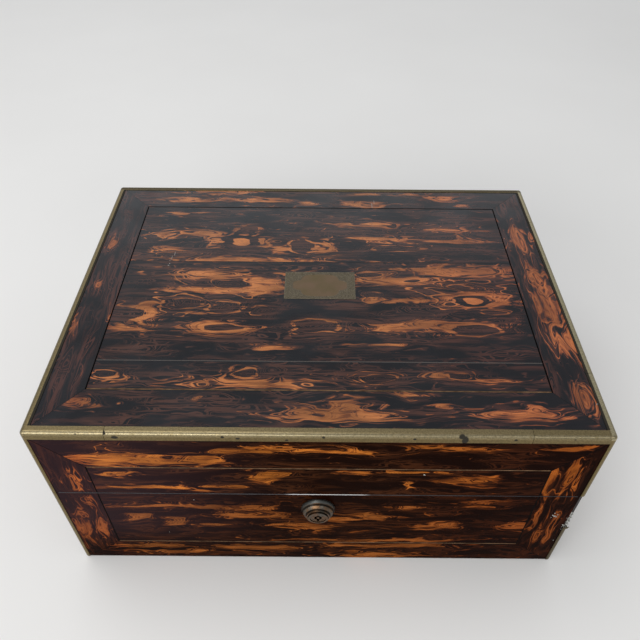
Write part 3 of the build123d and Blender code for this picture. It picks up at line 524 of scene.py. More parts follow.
def wood_colours(*colours):
    """The ground, the streaks, the light patches and their brightest parts."""
    return {kind: (*colour, 1) for kind, colour in zip(colour_kinds, colours)}


top_layout = layout(panel_half, half_width - rim_leg, -98.5, -127.0, 102.0, 127.0, -73.8, 28.8)
wall_layout = layout(panel_half, half_width - post_leg, 25.0, 1.0, 124.0, 153.5, no_seam, no_seam)
side_layout = layout(100.5, half_depth - post_leg, 25.0, 1.0, 124.0, 153.5, no_seam, no_seam)
back_layout = layout(500.0, 600.0, -300.0, -400.0, 500.0, 600.0, no_seam, no_seam)
top_colours = wood_colours((0.006, 0.005, 0.006), (0.068, 0.028, 0.019), (0.25, 0.075, 0.024),
                           (0.47, 0.165, 0.048))
lid_colours = wood_colours((0.0078, 0.0019, 0.0007), (0.046, 0.014, 0.0045), (0.20, 0.052, 0.009),
                           (0.46, 0.140, 0.020))
# The base front is darker than the lid front: partly duller patches, partly painted shade on the lower part
# of the front.
base_colours_with_painted_shade = wood_colours((0.0076, 0.0018, 0.0006), (0.042, 0.0115, 0.0032), (0.135, 0.034, 0.0055),
                            (0.28, 0.084, 0.016))
white = (1.0, 1.0, 1.0)
red_tint_and_painted_reflection = (0.90, 0.76, 0.80)
painted_grey_sheen = (0.016, 0.010, 0.013)
scratch_grey = (0.30, 0.26, 0.23)
joint_dirt = (0.003, 0.002, 0.002)
seam_marks = (("First Seam", 0.28, (0.11, 0.095, 0.085)), ("Second Seam", 0.32, (0.002, 0.002, 0.002)))
print("panel:", 2 * panel_half, "mm wide, in a border of", round(top_layout["Outer P"] - panel_half, 1), "mm")

# %% Veneer function
polish_roughness = 0.26
patch_deep = 12.0  # a patch reaches through its own leaf only


def one_patch(point, centre, half, before):
    """How near the point is to one patch, or what came before where that is more."""
    inputs = {"Point": point, "Centre": centre, "Half": half, "Before": before}
    return place_group(figure_patch, inputs)["After"]


def patch_chain(point, by_leaf):
    """How near the point is to the nearest patch: 1 in its middle, 0.5 at its edge."""
    nearest = 0.0
    for leaf, places in by_leaf.items():
        for p, q, half_p, half_q in places:
            if leaf in (left_strip, right_strip):
                p, q, half_p, half_q = q, p, half_q, half_p
            centre, half = (p, q, leaf * leaf_step), (half_p, half_q, patch_deep)
            nearest = one_patch(point, centre, half, nearest)
    return nearest


def veneer(name, face, layout, marks, colours, amount=0.06, bend=1.2, shine=0.5):
    """The polished veneer of one face."""
    material, place, shader = new_material(name, polish_roughness, IOR=1.5, Specular_IOR_Level=shine,
                                           Specular_Tint=(0.84, 0.92, 1.0, 1))
    x, y, z = split(place)
    p, q = {"top": (x, y), "front": (x, z), "side": (y, z)}[face]
    laid = place_group(leaf_layout, {"P": p, "Q": q, **layout})
    point = laid["Point"]
    bent = place_group(grain_bend, {"Point": point, "Bend": bend})["Point"]
    chains = {kind: patch_chain(bent, marks.get(kind, {})) for kind in mark_kinds}
    wood = place_group(figured_wood, {"Point": point, "Bent": bent, "Amount": amount, **chains, **colours})
    gape = rise(p, 120.0, 130.0) * rise(q, 110.0, 120.0) * float(face == "front")
    mitre = rise(laid["Mitre"], choose(gape, 0.5, 0.95), 0.12)
    mitre = mitre * larger(gape, rise(cloud(place, 0.05), 0.34, 0.66))
    # Redder at the left edge, and on the right side of each face, where a warm reflection is painted in.
    redder = mix(larger(rise(p, 20.0, 150.0), rise(p, -138.0, -150.0)), white, red_tint_and_painted_reflection)
    colour = mix(1.0, wood["Color"], redder, "MULTIPLY")
    # A grey sheen painted on the left of the front, on the side the light comes from.
    if face == "front":
        colour = mix(rise(p, -10.0, -150.0) * rise(q, 10.0, 60.0), colour, painted_grey_sheen, "ADD")
    if "Scratch" in marks:
        scratched = rise(patch_chain(point, marks["Scratch"]), 0.40, 0.60)
        colour = mix(scratched * 0.6, colour, scratch_grey)
    colour = mix(mitre, colour, joint_dirt)
    for seam, width, tone in seam_marks:
        on_seam = calc("COMPARE", q, layout[seam], width)
        colour = mix(on_seam * (abs(p) < layout["Panel P"]), colour, tone)
    worn = choose(rise(cloud(place, 0.03, 3.0), 0.35, 0.7), polish_roughness - 0.05, polish_roughness + 0.09)
    finish(shader, Base_Color=colour, Roughness=worn, Normal=bump(wood["Height"], 0.02, 0.35))
    return material


print("a veneer takes a face, a layout, marks, colours and the amount of figure")

# %% Veneer of each face
dress(veneer("top_border_veneer", "top", top_layout, top_border_marks, top_colours, -0.03, shine=0.4),
      "lid_top_border")
dress(veneer("top_panel_veneer", "top", top_layout, top_panel_marks, top_colours, 0.05, shine=0.4),
      "lid_top_panel")
for part, colours in (("lid", lid_colours), ("base", base_colours_with_painted_shade)):
    for piece, marks, amount in (("border", front_border_marks, 0.0), ("panel", front_panel_marks, 0.02)):
        name = f"{part}_front_{piece}"
        dress(veneer(name + "_veneer", "front", wall_layout, marks, colours, amount, 1.7, 0.008), name)
dress(veneer("side_veneer", "side", side_layout, side_marks, lid_colours, bend=1.6, shine=0.15),
      "lid_side_veneers", "base_left_veneer", "base_right_veneer", "drawer_veneer")
dress(veneer("back_veneer", "front", back_layout, back_marks, lid_colours, -0.02, shine=0.15),
      "lid_back_veneer", "base_back_veneer")
print("veneers:", [m.name for m in bpy.data.materials if "veneer" in m.name])

# %% [markdown]
# ## Lines round the panels
# A line of veneer under a millimetre wide parts each panel from its border. It has shrunk and filled with old
# polish: at the left and right, and along the back of the lid, it reads as a black crack, along the front as
# a thin brown line.


# %% Line material
def line_material():
    """Dark at the ends of a face and along the back of the lid, brown elsewhere."""
    material, place, shader = new_material("line_inlay", 0.6, Specular_IOR_Level=0.02)
    x, y, _ = split(place)
    grain = cloud(place, detail=4.0, per_mm=(0.2, 0.2, 0.2))
    brown = mix(rise(grain, 0.1, 0.9), (0.055, 0.030, 0.016), (0.21, 0.125, 0.068))
    dark = larger(rise(abs(x), panel_half - 1.0, panel_half - 0.9), rise(y, 100.5, 101.0))
    finish(shader, Base_Color=mix(dark, brown, (0.0025, 0.002, 0.002)), Normal=bump(grain, 0.05, 0.5))
    return material


dress(line_material(), "lid_stringing", "base_stringing")
print("lines:", nodes["lid_stringing"].name, nodes["base_stringing"].name)

# %% [markdown]
# ## Old brass
# The edging was lacquered, handled for a century and never cleaned: an olive skin, brighter where hands rub
# it, with small dark pits and a few knocks. The group gives the colour, the roughness and the height, and
# each fitting sets how bright or how pitted it is.


# %% Old brass group
def brass_steps(given):
    """Rubbed and dull places, and pits."""
    point = given["Point"]
    mottle = cloud(point, 0.35, 4.0, 0.7)
    reach = given["Rubbed"] * 0.35
    brightened = rise(cloud(point, 0.045, 4.0, 0.6) * 0.6 + mottle * 0.4, 0.72 - reach, 0.86 - reach)
    brightened = larger(brightened, given["Edge"] * rise(mottle, 0.25, 0.55))
    colour = mix(brightened, given["Skin"], given["Bright"])
    colour = toned(colour, choose(rise(cloud(point, 0.9, 3.0, 0.8), 0.35, 0.65), 0.72, 1.12))
    spots = put("TexVoronoi", {"Vector": point, "Scale": 0.085})
    chance = split(Wire(spots.socket.node.outputs["Color"]))[0]
    radius = rise(chance, 1.0 - given["Pits"], 1.0) * 0.11
    pit = rise(spots + mottle * 0.04, radius + 0.02, radius - 0.03)
    pit = larger(pit, rise(given["Stain"], 0.45, 0.65))
    return {"Color": mix(pit * 0.95, colour, (0.010, 0.008, 0.005)),
            "Roughness": choose(pit, choose(brightened, 0.38, 0.34), 0.85),
            "Height": mottle - pit, "Metal": choose(pit, 1.0, 0.3)}


brass_inputs = {"Point": spot, "Skin": black, "Bright": black}
brass_inputs.update(dict.fromkeys(("Rubbed", "Pits", "Edge", "Stain"), 0.0))
old_brass = make_group("old_brass", brass_inputs, brass_steps)

# %% Wear of the rim
rim_stains = [(-167, 157, 1, 1), (-127, 159.3, 1.2, 0.8), (-121, 156.5, 2.3, 1.5), (-57, 157.5, 1.2, 1),
              (-48, 156.2, 1.4, 1), (-19, 155, 1.2, 0.9), (3, 157.8, 1, 1), (57, 157, 1.1, 1),
              (87, 156.2, 2.2, 3.6), (85, 158.8, 2.2, 1.4), (117, 156.8, 1.2, 1), (143, 159.5, 1.2, 0.9)]
stain_deep = 7.0  # a spot on the front of the rim doesn't reach its back


def rim_edge(place):
    """1 along the rounded outer edge of the rim, which hands rub, and 0 on its flat legs."""
    x, y, z = split(place)
    outward = larger(abs(x) - (half_width - 3.0), abs(y) - (half_depth - 3.0))
    return rise(smaller(outward, z - (top_height - 3.0)), 0.8, 1.8)


def stains(place, spots):
    """The dull back strip, a darker band along the inner edge of the side strips, and the dark spots on the
    front of the rim. Each spot is its place along the rim, its height and its half size each way."""
    x, y, z = split(place)
    nearest = rise(y, half_depth - 6.0, half_depth - 5.0) * 0.57
    inner = rise(abs(x), half_width - 3.7, half_width - 4.1) * (abs(y) < half_depth - 5.6)
    nearest = larger(nearest, inner * 0.8)
    for along, up, half_along, half_up in spots:
        centre, half = (along, up, -half_depth), (half_along, half_up, stain_deep)
        nearest = one_patch(join(x, z, y), centre, half, nearest)
    return nearest


def brass(name, skin, bright, brightened, pits, depth, rim_spots=None, marks=None):
    """One fitting's brass. A piece of the rim also gives its dark spots. marks is a function that adds to the
    colour."""
    material, place, shader = new_material(name, 0.4, 1.0)
    wear = {"Skin": (*skin, 1)}
    if rim_spots is not None:
        x, _, z = split(place)
        # The outer part of the right side strip is painted paler, a painted reflection; the rim's upright leg
        # is darker.
        dull = mix(rise(x, half_width - 4.5, half_width - 3.5), skin, painted_sheen_right_leg)
        dull = mix(rise(z, top_height - 2.6, top_height - 3.4), dull, low_leg)
        wear = {"Skin": dull, "Edge": rim_edge(place), "Stain": stains(place, rim_spots)}
    wear.update(Point=place, Bright=(*bright, 1), Rubbed=brightened, Pits=pits)
    made = place_group(old_brass, wear)
    colour = marks(place, made["Color"]) if marks else made["Color"]
    finish(shader, Base_Color=colour, Roughness=made["Roughness"], Metallic=made["Metal"],
           Normal=bump(made["Height"], depth, 0.5))
    return material


print("the rim has its own wear")

# %% Brass fittings
worn_brass = (0.30, 0.252, 0.152)
low_leg = (0.20, 0.148, 0.062)  # the rim's upright leg, out of the reach of polishing
painted_sheen_right_leg = (0.46, 0.40, 0.25)  # the right side strip, painted paler as a painted reflection of light
dress(brass("rim_brass", (0.265, 0.208, 0.108), worn_brass, 0.25, 0.45, 0.10, rim_stains), "rim_strips")
dress(brass("corner_brass", (0.25, 0.195, 0.098), worn_brass, 0.25, 0.5, 0.10, ()), "rim_corners")
dress(brass("post_brass", (0.19, 0.138, 0.048), (0.36, 0.275, 0.11), 0.45, 0.5, 0.10),
      "lid_corner_strips", "base_corner_strips")
dress(brass("broken_strip_brass", (0.11, 0.080, 0.030), (0.24, 0.175, 0.07), 0.3, 0.8, 0.2),
      "broken_corner_strip")
dress(brass("hinge_brass", (0.34, 0.27, 0.13), (0.55, 0.45, 0.24), 0.7, 0.2, 0.03),
      "base_hinge_leaves", "lid_hinge_leaves", "upper_flap_hinges", "lower_flap_hinges", "lock_case",
      "lock_hook_plate", "base_screws", "lid_screws", "ink_caps", "pull_plate", "pull_bail")
dress(brass("pin_steel", (0.22, 0.22, 0.22), (0.45, 0.45, 0.45), 0.6, 0.2, 0.02),
      "base_hinge_pins", "lid_flap_pins", "lock_bolt")
print("brass and steel:", [m.name for m in bpy.data.materials if "brass" in m.name or "steel" in m.name])

# %% Turned grooves of the nozzle
grooves = ((10.5, 0.5, 0.9), (8.35, 0.45, 0.9), (6.9, 0.35, 0.6), (5.45, 0.3, 0.8), (4.2, 0.3, 0.5))
nozzle_low, nozzle_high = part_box("lock_nozzle")
key_axis_z = (nozzle_low.z + nozzle_high.z) / 2 / mm


def turned_grooves(place, colour):
    """Brown tarnish, dark grooves round the key's axis and a greyer outer edge. Each groove is its radius,
    half width and depth of tone."""
    x, _, z = split(place)
    radius = vector_calc("LENGTH", join(x, 0.0, z - key_axis_z), out=1)
    colour = mix(rise(cloud(place, 0.16, 3.0), 0.42, 0.60), colour, (0.150, 0.085, 0.045))
    for groove, half_wide, tone in grooves:
        near = rise(abs(radius - groove), half_wide, half_wide * 0.4)
        colour = mix(near * tone, colour, (0.006, 0.005, 0.004))
    return mix(rise(radius, 10.9, 11.2), colour, (0.15, 0.155, 0.145))


dress(brass("nozzle_metal", (0.120, 0.100, 0.078), (0.34, 0.29, 0.23), 0.45, 0.9, 0.16, marks=turned_grooves),
      "lock_nozzle", "lock_barrel")
print("grooves:", len(grooves), "round an axis at", round(key_axis_z, 1), "mm")

# %% [markdown]
# ## The name plate
# A thin plate let in flush. Its middle is a plain reserve with a wavy edge, worn to a soft brown. Round
# that the ground is punched all over and carries small chased scrolls inside a raised fillet. The reserve's
# outline is two ovals laid over each other, and the same numbers shape the finish here and place the
# scrolls further down.

# %% Plate finish
plate_low, plate_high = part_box("name_plate")
plate_half = ((plate_high.x - plate_low.x) / 2 / mm, (plate_high.y - plate_low.y) / 2 / mm)
plate_middle = (plate_high.y + plate_low.y) / 2 / mm
plate_top = plate_high.z / mm
reserve_ovals = ((14.2, 12.2), (20.0, 6.0))  # half sizes of its tall middle and of its two side lobes


def plate_finish():
    """Smooth worn reserve, punched border."""
    material, place, shader = new_material("plate_brass", 0.4, 1.0)
    x, y, _ = split(place)
    y = y - plate_middle
    ovals = [calc("SQRT", calc("POWER", x / half_x, 4.0) + calc("POWER", y / half_y, 4.0))
             for half_x, half_y in reserve_ovals]
    reserve = rise(smaller(*ovals), 1.06, 0.94)
    smooth = mix(rise(cloud(place, 0.09, 3.0), 0.3, 0.7), (0.165, 0.124, 0.070), (0.200, 0.136, 0.088))
    punch = put("TexVoronoi", {"Vector": place, "Scale": 1.5})
    ground = mix(rise(punch, 0.15, 0.45), (0.058, 0.048, 0.035), (0.165, 0.140, 0.100))
    finish(shader, Base_Color=mix(reserve, ground, smooth), Roughness=choose(reserve, 0.50, 0.42),
           Normal=bump(punch * (1.0 - reserve), 0.25, 0.8))
    return material


dress(plate_finish(), "name_plate")
print("plate:", [round(2 * h, 1) for h in plate_half], "mm")

# %% [markdown]
# ## Boards, leather, cloth and glass
# Inside, the boards are plain red-brown hardwood with straight grain and open pores. The flaps carry thin
# leather with a gilt border pressed into it. The cloth under the box is felted wool.


# %% Board group
def board_steps(given):
    """Broad ribbons of grain, fine fibres and short dark pores."""
    point = given["Point"]
    ribbon = cloud(point, detail=3.0, wobble=0.4, per_mm=(1 / 90, 1 / 7, 1 / 7))
    fibre = cloud(point, detail=3.0, rough=0.6, per_mm=(1 / 22, 1 / 0.7, 1 / 0.7))
    pore = rise(cloud(point, detail=1.0, per_mm=(1 / 3.2, 1 / 0.22, 1 / 0.22)), 0.64, 0.70)
    colour = mix(rise(ribbon * 0.6 + fibre * 0.4, 0.36, 0.64), given["Dark"], given["Pale"])
    return {"Color": mix(pore * 0.6, colour, (0.02, 0.008, 0.004)), "Height": fibre - pore}


plain_board = make_group("plain_board", {"Point": spot, "Dark": black, "Pale": black}, board_steps)


# %% Boards
def board(name, along, dark=(0.085, 0.030, 0.014), pale=(0.24, 0.095, 0.045), roughness=0.42, soiled=False):
    """A board with its grain along X or Y. A soiled one is nearly black where it once lay under a strip."""
    material, place, shader = new_material(name, roughness, Specular_IOR_Level=0.35)
    x, y, z = split(place)
    point = join(*{"X": (x, y, z), "Y": (y, x, z)}[along])
    made = place_group(plain_board, {"Point": point, "Dark": (*dark, 1), "Pale": (*pale, 1)})
    colour = made["Color"]
    if soiled:
        outside = larger(rise(abs(x), half_width - 2.2, half_width - 1.7),
                         rise(y, 2.2 - half_depth, 1.7 - half_depth))
        colour = mix(outside, colour, (0.014, 0.009, 0.007))
    finish(shader, Base_Color=colour, Normal=bump(made["Height"], 0.03, 0.5))
    return material


dress(board("soiled_board_along", "X", soiled=True), "base_front_board")
dress(board("soiled_board_across", "Y", soiled=True), "base_right_board")
dress(board("board_along", "X"), "base_back_board", "base_bottom_board", "lid_front_board",
      "lid_back_board", "lid_top_board", "bay_divider", "drawer_roof", "drawer_walls", "drawer_bottom",
      "upper_flap_board", "lower_flap_board", "upper_flap_cleats", "lower_flap_cleats")
dress(board("board_across", "Y"), "base_left_board", "lid_side_boards", "bay_partitions", "drawer_front")
dress(board("pen_tray_wood", "X", (0.05, 0.018, 0.010), (0.16, 0.060, 0.030), 0.3), "pen_tray")
print("boards:", [m.name for m in bpy.data.materials if "board" in m.name or "tray" in m.name])

# %% Leather with a gilt border
gilt_lines = ((5.0, 0.28), (11.5, 0.28), (13.0, 0.14))  # how far in each line lies, and its half width
vine_in = 8.2  # the wavy line between them
vine_swing = 1.1
vine_pitch = 1.05


def leather_material(name, middle, half):
    """Thin leather on a flap, its border set in from the edge. middle and half are in millimetres."""
    material, place, shader = new_material(name, 0.45, Specular_IOR_Level=0.4)
    x, y, _ = split(place)
    edge_x = half[0] - abs(x)
    edge_y = half[1] - abs(y - middle)
    edge = smaller(edge_x, edge_y)
    along = choose(edge_x < edge_y, x, y)
    wave = calc("SINE", along * vine_pitch) * vine_swing
    gilt = calc("COMPARE", edge + wave, vine_in, 0.32)
    berries = calc("COSINE", along * (2 * vine_pitch)) > 0.86
    gilt = larger(gilt, calc("COMPARE", edge, vine_in, 0.5) * berries)
    for line_in, half_line in gilt_lines:
        gilt = larger(gilt, calc("COMPARE", edge, line_in, half_line))
    wear = cloud(place, 0.12, 5.0, 0.7)
    gilt = gilt * rise(wear, 0.36, 0.50)
    hide = put("TexVoronoi", {"Vector": place, "Scale": 1.1})
    green = mix(rise(cloud(place, 0.02, 4.0), 0.35, 0.68), (0.012, 0.040, 0.026), (0.035, 0.075, 0.045))
    green = mix(rise(hide, 0.1, 0.5), green, (0.020, 0.050, 0.032))
    finish(shader, Base_Color=mix(gilt, green, (0.62, 0.42, 0.14)), Metallic=gilt * 0.9,
           Roughness=choose(gilt, choose(wear, 0.38, 0.60), 0.28), Normal=bump(hide * 0.6 - gilt, 0.06, 0.6))
    return material


for flap in ("upper_flap_leather", "lower_flap_leather"):
    flap_low, flap_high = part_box(flap)
    middle_y = (flap_low.y + flap_high.y) / 2 / mm
    half_flap = (flap_high.x / mm, (flap_high.y - flap_low.y) / 2 / mm)
    dress(leather_material(flap, middle_y, half_flap), flap)
    print(flap, [round(2 * h) for h in half_flap], "mm")


# %% Cloth and glass
def cloth_material():
    """Felted wool: a fuzzy mottle with a slight nap."""
    material, place, shader = new_material("green_baize", 0.95, Specular_IOR_Level=0.15, Sheen_Weight=0.3)
    fuzz = cloud(place, 1.6, 4.0, 0.8)
    colour = mix(rise(fuzz, 0.3, 0.7), (0.012, 0.045, 0.022), (0.035, 0.10, 0.050))
    colour = mix(rise(cloud(place, 0.03, 3.0), 0.5, 0.75) * 0.4, colour, (0.10, 0.11, 0.06))
    finish(shader, Base_Color=colour, Normal=bump(fuzz, 0.3, 0.7))
    return material


def glass_material():
    """Clear moulded glass with a faint ripple."""
    material, place, shader = new_material("clear_glass", 0.04, IOR=1.5, Transmission_Weight=1.0)
    ripple = cloud(place, 0.12)
    finish(shader, Base_Color=mix(ripple, (0.86, 0.93, 0.91), (0.93, 0.97, 0.96)),
           Normal=bump(ripple, 0.3, 0.3))
    return material


dress(cloth_material(), "base_baize")
dress(glass_material(), "ink_bottles")
print("materials:", len(bpy.data.materials))

# %% [markdown]
# ## Chased scrolls on the name plate
# Each scroll is a thin wire of metal that curls inwards and ends in a bud. One is modelled: a six-sided
# section is spun through half a turn, and then on round a nearer middle, so that the curl tightens. It is
# then copied to places on a grid, wherever the plain reserve leaves room, and turned to follow the reserve.


# %% Modelling helpers
def start_fresh():
    """Object mode with nothing selected."""
    if bpy.context.mode != "OBJECT":
        bpy.ops.object.mode_set(mode="OBJECT")
    bpy.ops.object.select_all(action="DESELECT")


def pick(piece):
    """Selects one object only and makes it active."""
    start_fresh()
    piece.select_set(True)
    bpy.context.view_layer.objects.active = piece


def edit_all():
    """Opens the active piece in edit mode with everything selected."""
    bpy.ops.object.mode_set(mode="EDIT")
    bpy.ops.mesh.select_all(action="SELECT")


def close_edit():
    """Back to object mode."""
    bpy.ops.object.mode_set(mode="OBJECT")


def open_new(size=None):
    """The primitive just added, at its size and with its place fixed in its mesh, open in edit mode."""
    piece = bpy.context.object
    if size:
        piece.scale = size
    bpy.ops.object.transform_apply(location=True, rotation=True, scale=True)
    edit_all()
    return piece


def fold_out(piece):
    """Merges doubles and turns all faces outwards."""
    pick(piece)
    edit_all()
    bpy.ops.mesh.remove_doubles(threshold=0.00001)
    bpy.ops.mesh.normals_make_consistent(inside=False)
    close_edit()


def copies(first, places):
    """Copies a piece's mesh to each matrix and joins the copies. The piece itself stays for further use."""
    made = []
    for matrix in places:
        copy = bpy.data.objects.new(first.name, first.data.copy())
        copy.data.transform(matrix)
        bpy.context.scene.collection.objects.link(copy)
        made.append(copy)
    start_fresh()
    for copy in made:
        copy.select_set(True)
    bpy.context.view_layer.objects.active = made[0]
    bpy.ops.object.join()
    return bpy.context.object


def settle(piece, name, material, body):
    """Names a finished piece, fixes its place in its mesh, and gives it a finish and a body."""
    pick(piece)
    bpy.ops.object.transform_apply(location=True, rotation=True, scale=True)
    piece.name = name
    piece.data.name = name
    piece.data.materials.clear()
    piece.data.materials.append(material)
    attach(piece, body)
    print(name, len(piece.data.polygons), "faces, on", body)


# %% One scroll
wire_radius = 0.19
curl_radius = 1.05
bud_radius = 0.27
curl_shift = -0.5 * mm  # where the second, tighter half turn has its middle
start_fresh()
bpy.ops.mesh.primitive_circle_add(vertices=6, radius=wire_radius * mm, fill_type="NGON",
                                  location=(curl_radius * mm, 0, 0), rotation=(math.pi / 2, 0, 0))
scroll = open_new()
bpy.ops.mesh.spin(steps=6, angle=math.radians(-180), center=(0, 0, 0), axis=(0, 0, 1))
bpy.ops.mesh.spin(steps=6, angle=math.radians(-210), center=(curl_shift, 0, 0), axis=(0, 0, 1))
close_edit()
bpy.ops.mesh.primitive_ico_sphere_add(subdivisions=1, radius=bud_radius * mm,
                                      location=(curl_shift, 0.15 * mm, 0))
scroll.select_set(True)
bpy.context.view_layer.objects.active = scroll
bpy.ops.object.join()
fold_out(scroll)
print("one scroll:", len(scroll.data.polygons), "faces")


# %% Scrolls over the border of the plate
def in_reserve(x, y):
    """True where the plate is left plain."""
    return min(math.hypot((x / half_x) ** 2, (y / half_y) ** 2) for half_x, half_y in reserve_ovals) < 1.12


scroll_places = []
columns, rows = 19, 11
plate_margin = 2.0
sunk = 0.02  # how deep the chasing sits in the plate
for column in range(columns):
    for row in range(rows):
        along = (column / (columns - 1) * 2 - 1) * (plate_half[0] - plate_margin)
        across = (row / (rows - 1) * 2 - 1) * (plate_half[1] - plate_margin)
        if not in_reserve(along, across):
            turn = math.atan2(across, along) * 3 + (column + row) % 2 * math.pi
            place = Matrix.Translation(Vector((along, plate_middle + across, plate_top - sunk)) * mm)
            scroll_places.append(place @ Matrix.Rotation(turn, 4, "Z"))
chased_brass = brass("chased_brass", (0.210, 0.180, 0.125), (0.72, 0.68, 0.58), 0.30, 0.0, 0.01)
settle(copies(scroll, scroll_places), "plate_scrolls", chased_brass, "lid")
bpy.data.objects.remove(scroll, do_unlink=True)

# %% Fillet round the plate
fillet_wide = 0.55
fillet_high = 0.14
fillet_round = 0.06
start_fresh()
bpy.ops.mesh.primitive_plane_add(size=1.0, location=(0, plate_middle * mm, (plate_top - sunk) * mm))
plate_fillet = open_new((2 * plate_half[0] * mm, 2 * plate_half[1] * mm, 1))
bpy.ops.mesh.inset(thickness=fillet_wide * mm)
bpy.ops.mesh.delete(type="FACE")
bpy.ops.mesh.select_all(action="SELECT")
bpy.ops.mesh.extrude_region_move(TRANSFORM_OT_translate={"value": (0, 0, fillet_high * mm)})
close_edit()
softened = plate_fillet.modifiers.new("softened", "BEVEL")
softened.width = fillet_round * mm
softened.segments = 2
pick(plate_fillet)
bpy.ops.object.modifier_apply(modifier="softened")
fold_out(plate_fillet)
settle(plate_fillet, "plate_fillet", chased_brass, "lid")

# %% [markdown]
# ## The lip of the base, with a painted highlight
# Along the top front edge of the base the polish has built up to a thin round lip. Its colour is painted
# pale above the lock, and faintly pale elsewhere: a painted highlight for the light the edge catches there.
# It is one long cylinder of eight sides, half sunk in the edge, with its ends rounded.

# %% Lip
lip_low, lip_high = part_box("base_front_panel")
lip_radius = 0.30
lip_place = (0, lip_low.y + 0.16 * mm, (lip_high.z / mm - 0.22) * mm)
lip_length = 2 * (half_width - 5.2)
start_fresh()
bpy.ops.mesh.primitive_cylinder_add(vertices=8, radius=lip_radius * mm, depth=lip_length * mm,
                                    location=lip_place, rotation=(0, math.pi / 2, 0))
lip = open_new()
bpy.ops.mesh.bevel(offset=0.12 * mm, segments=2)
close_edit()
fold_out(lip)
bpy.ops.object.shade_smooth_by_angle(angle=math.radians(50))


def lip_painted_highlight_finish():
    """Built-up polish, with a pale highlight painted into its colour over the lock."""
    material, place, shader = new_material("lip_painted_highlight", 0.3, Specular_IOR_Level=0.3)
    patchy = cloud(place, detail=4.0, per_mm=(0.045, 0.2, 0.2))
    off_lock = abs(split(place)[0] - 6.0)
    # Painted highlight: pale over the lock, and faintly pale elsewhere along the lip.
    brightened = rise(off_lock, 30.0, 22.0) * rise(patchy, 0.30, 0.42)
    share = larger(brightened, rise(patchy, 0.35, 0.7) * 0.06)
    finish(shader, Base_Color=mix(share, (0.012, 0.012, 0.016), (0.66, 0.66, 0.66)),
           Roughness=choose(patchy, 0.22, 0.42))
    return material


settle(lip, "lip_with_painted_highlight", lip_painted_highlight_finish(), "base")

# %% [markdown]
# ## Where the corner strip broke off
# Above the stump of the front right strip the corner is bare, and flakes of old pale glue still stick to it.
# One flake is modelled from a small ball, flattened and roughened, and copied with its own turn and size. The
# same flakes are the specks of filler in the small chips of the veneer.

# %% One flake
start_fresh()
bpy.ops.mesh.primitive_ico_sphere_add(subdivisions=2, radius=0.5 * mm)
flake = open_new()
bpy.ops.transform.resize(value=(1.0, 0.75, 0.30), center_override=(0, 0, 0))
bpy.ops.transform.vertex_random(offset=0.10 * mm, seed=4)
close_edit()
print("one flake:", len(flake.data.polygons), "faces")

# %% Flakes on the bare corner
import random

chance = random.Random(11)
outer_x = half_width - 1.3
glue_y = -half_depth + 0.6
# Each band of glue is its lower and upper height, its inner end and its number of flakes.
glue_bands = [(47.5, 53.0, 172.3, 38), (53.0, 60.0, 171.4, 58), (60.0, 65.0, 172.8, 26),
              (65.0, 71.0, 174.0, 14)]
flake_places = []
for band_low, band_high, inner_x, count in glue_bands:
    for number in range(count):
        place = Vector((chance.uniform(inner_x, outer_x), glue_y + chance.uniform(-0.1, 0.35),
                        chance.uniform(band_low, band_high))) * mm
        turn = Matrix.Rotation(math.pi / 2 + chance.uniform(-0.5, 0.5), 4, "X")
        spin = Matrix.Rotation(chance.uniform(0, math.pi), 4, "Z")
        size = Matrix.Scale(chance.uniform(0.7, 1.9), 4)
        flake_places.append(Matrix.Translation(place) @ turn @ spin @ size)
print("flakes on the corner:", len(flake_places))

# %% Filler in the chips
front_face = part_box("base_front_panel")[0].y / mm
top_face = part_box("lid_top_panel")[1].z / mm
top_chips = [(-116, 23.5, 1.3), (-115.5, 26, 0.9), (172, -107.5, 1.4)]
lid_chips = [(67.3, 117.8, 1.3), (67.9, 117.2, 0.8)]
base_chips = [(163.7, 66.6, 2.0), (162.4, 67.6, 1.5), (165, 65.8, 1.5), (163, 70.5, 1.1), (165.5, 68.4, 1.2),
              (161.8, 64.8, 1.0), (172, 31.5, 1.3), (-83.6, 84.7, 0.7), (-107.2, 39.5, 0.7)]


def on_face(x, y, z, size, lean=0.0):
    """Lays a flake on the box at a place, flat or leant back, each with its own turn."""
    laid = Matrix.Rotation(lean, 4, "X") @ Matrix.Rotation(x, 4, "Z")
    return Matrix.Translation(Vector((x, y, z)) * mm) @ laid @ Matrix.Scale(size, 4)


def on_front(chips):
    """Lays flakes upright on the front, each at its place along it and its height."""
    return [on_face(x, front_face, z, size, math.pi / 2) for x, z, size in chips]


def glue_finish():
    """Pale chalky glue with grey dirt in its hollows."""
    material, place, shader = new_material("old_glue", 0.85, Specular_IOR_Level=0.2)
    dirt = cloud(place, 0.9, 4.0, 0.7)
    finish(shader, Base_Color=mix(rise(dirt, 0.38, 0.60), (0.045, 0.045, 0.040), (0.50, 0.50, 0.46)),
           Normal=bump(dirt, 0.2, 0.8))
    return material


glue = glue_finish()
lid_places = [on_face(x, y, top_face, size) for x, y, size in top_chips] + on_front(lid_chips)
settle(copies(flake, lid_places), "lid_chip_filler", glue, "lid")
settle(copies(flake, flake_places + on_front(base_chips)), "old_glue_flakes", glue, "base")
bpy.data.objects.remove(flake, do_unlink=True)

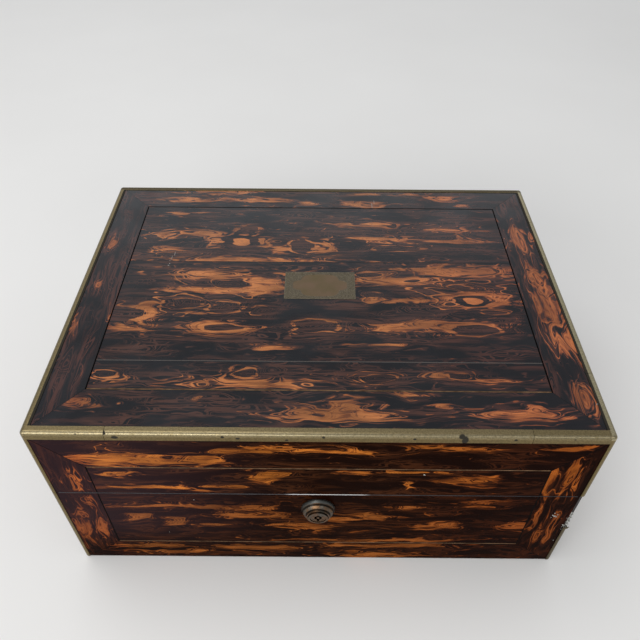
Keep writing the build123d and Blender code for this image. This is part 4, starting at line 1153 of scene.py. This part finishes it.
# %% Torn end of the broken strip
stump_low, stump_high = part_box("broken_corner_strip")
tear_size = (3.2 * mm, 0.5 * mm, 3.4 * mm)
tear_place = (stump_high.x - 1.8 * mm, stump_low.y + 0.3 * mm, stump_high.z + 1.0 * mm)
curl_start = stump_high.z + 0.2 * mm
start_fresh()
bpy.ops.mesh.primitive_cube_add(size=1.0, location=tear_place)
torn_end = open_new(tear_size)
bpy.ops.mesh.subdivide(number_cuts=4)
bpy.ops.transform.vertex_random(offset=0.12 * mm, seed=9)
close_edit()
for corner in torn_end.data.vertices:
    above = max(0.0, corner.co.z - curl_start) / mm
    corner.co.y -= 0.16 * above ** 1.5 * mm
    corner.co.z -= 0.35 * above * mm * (0.5 + 0.5 * math.sin(corner.co.x / mm * 2.4))
fold_out(torn_end)
settle(torn_end, "torn_strip_end", bpy.data.materials["broken_strip_brass"], "base")

# %% [markdown]
# ## Floor and light
# The box stands on a plain pale floor. A broad soft lamp behind the viewer makes the bright line along the
# brass, one overhead and a low one beyond the box give the top its faint grey sheen, a small one at the
# right lights the right of the front, and a pale room fills the shadows.

# %% Floor
bpy.ops.object.select_all(action="DESELECT")
bpy.ops.mesh.primitive_plane_add(size=9.0, location=(0, 0, -0.0003))
floor = bpy.context.object
floor.name = "floor"
floor_material, floor_place, floor_shader = new_material("pale_floor", 0.75, Specular_IOR_Level=0.2)
floor_tone = mix(cloud(floor_place, 0.004, 3.0), (0.80, 0.79, 0.77), (0.86, 0.85, 0.83))
finish(floor_shader, Base_Color=floor_tone)
floor.data.materials.append(floor_material)
print("floor:", floor.dimensions.x, "m wide")


# %% Lamps
def soft_lamp(name, place, size, power):
    """A broad area lamp that faces the box."""
    lamp = bpy.data.objects.new(name, bpy.data.lights.new(name, "AREA"))
    lamp.data.shape = "RECTANGLE"
    lamp.data.size, lamp.data.size_y = size
    lamp.data.energy = power
    lamp.location = place
    lamp.rotation_euler = (aim - Vector(place)).to_track_quat("-Z", "Y").to_euler()
    bpy.context.scene.collection.objects.link(lamp)
    print("lamp:", name, power, "W")


aim = Vector((0, 0, 0.1))
soft_lamp("window", (-1.05, -1.9, 1.25), (2.2, 0.8), 31)
soft_lamp("overhead", (-0.7, 0.1, 2.2), (1.4, 1.4), 14)
soft_lamp("far_wall", (-0.3, 2.4, 1.5), (3.0, 0.9), 5.5)
soft_lamp("side_window", (0.95, -1.9, 1.25), (0.7, 0.3), 2.5)

# %% Room
world = bpy.data.worlds.new("room")
bpy.context.scene.world = world
world.use_nodes = True
room = world.node_tree.nodes["Background"].inputs
room["Color"].default_value = (0.95, 0.97, 1.0, 1)
room["Strength"].default_value = 0.50
bpy.context.scene.view_settings.view_transform = "Standard"
print("room:", world.name, "and four lamps")
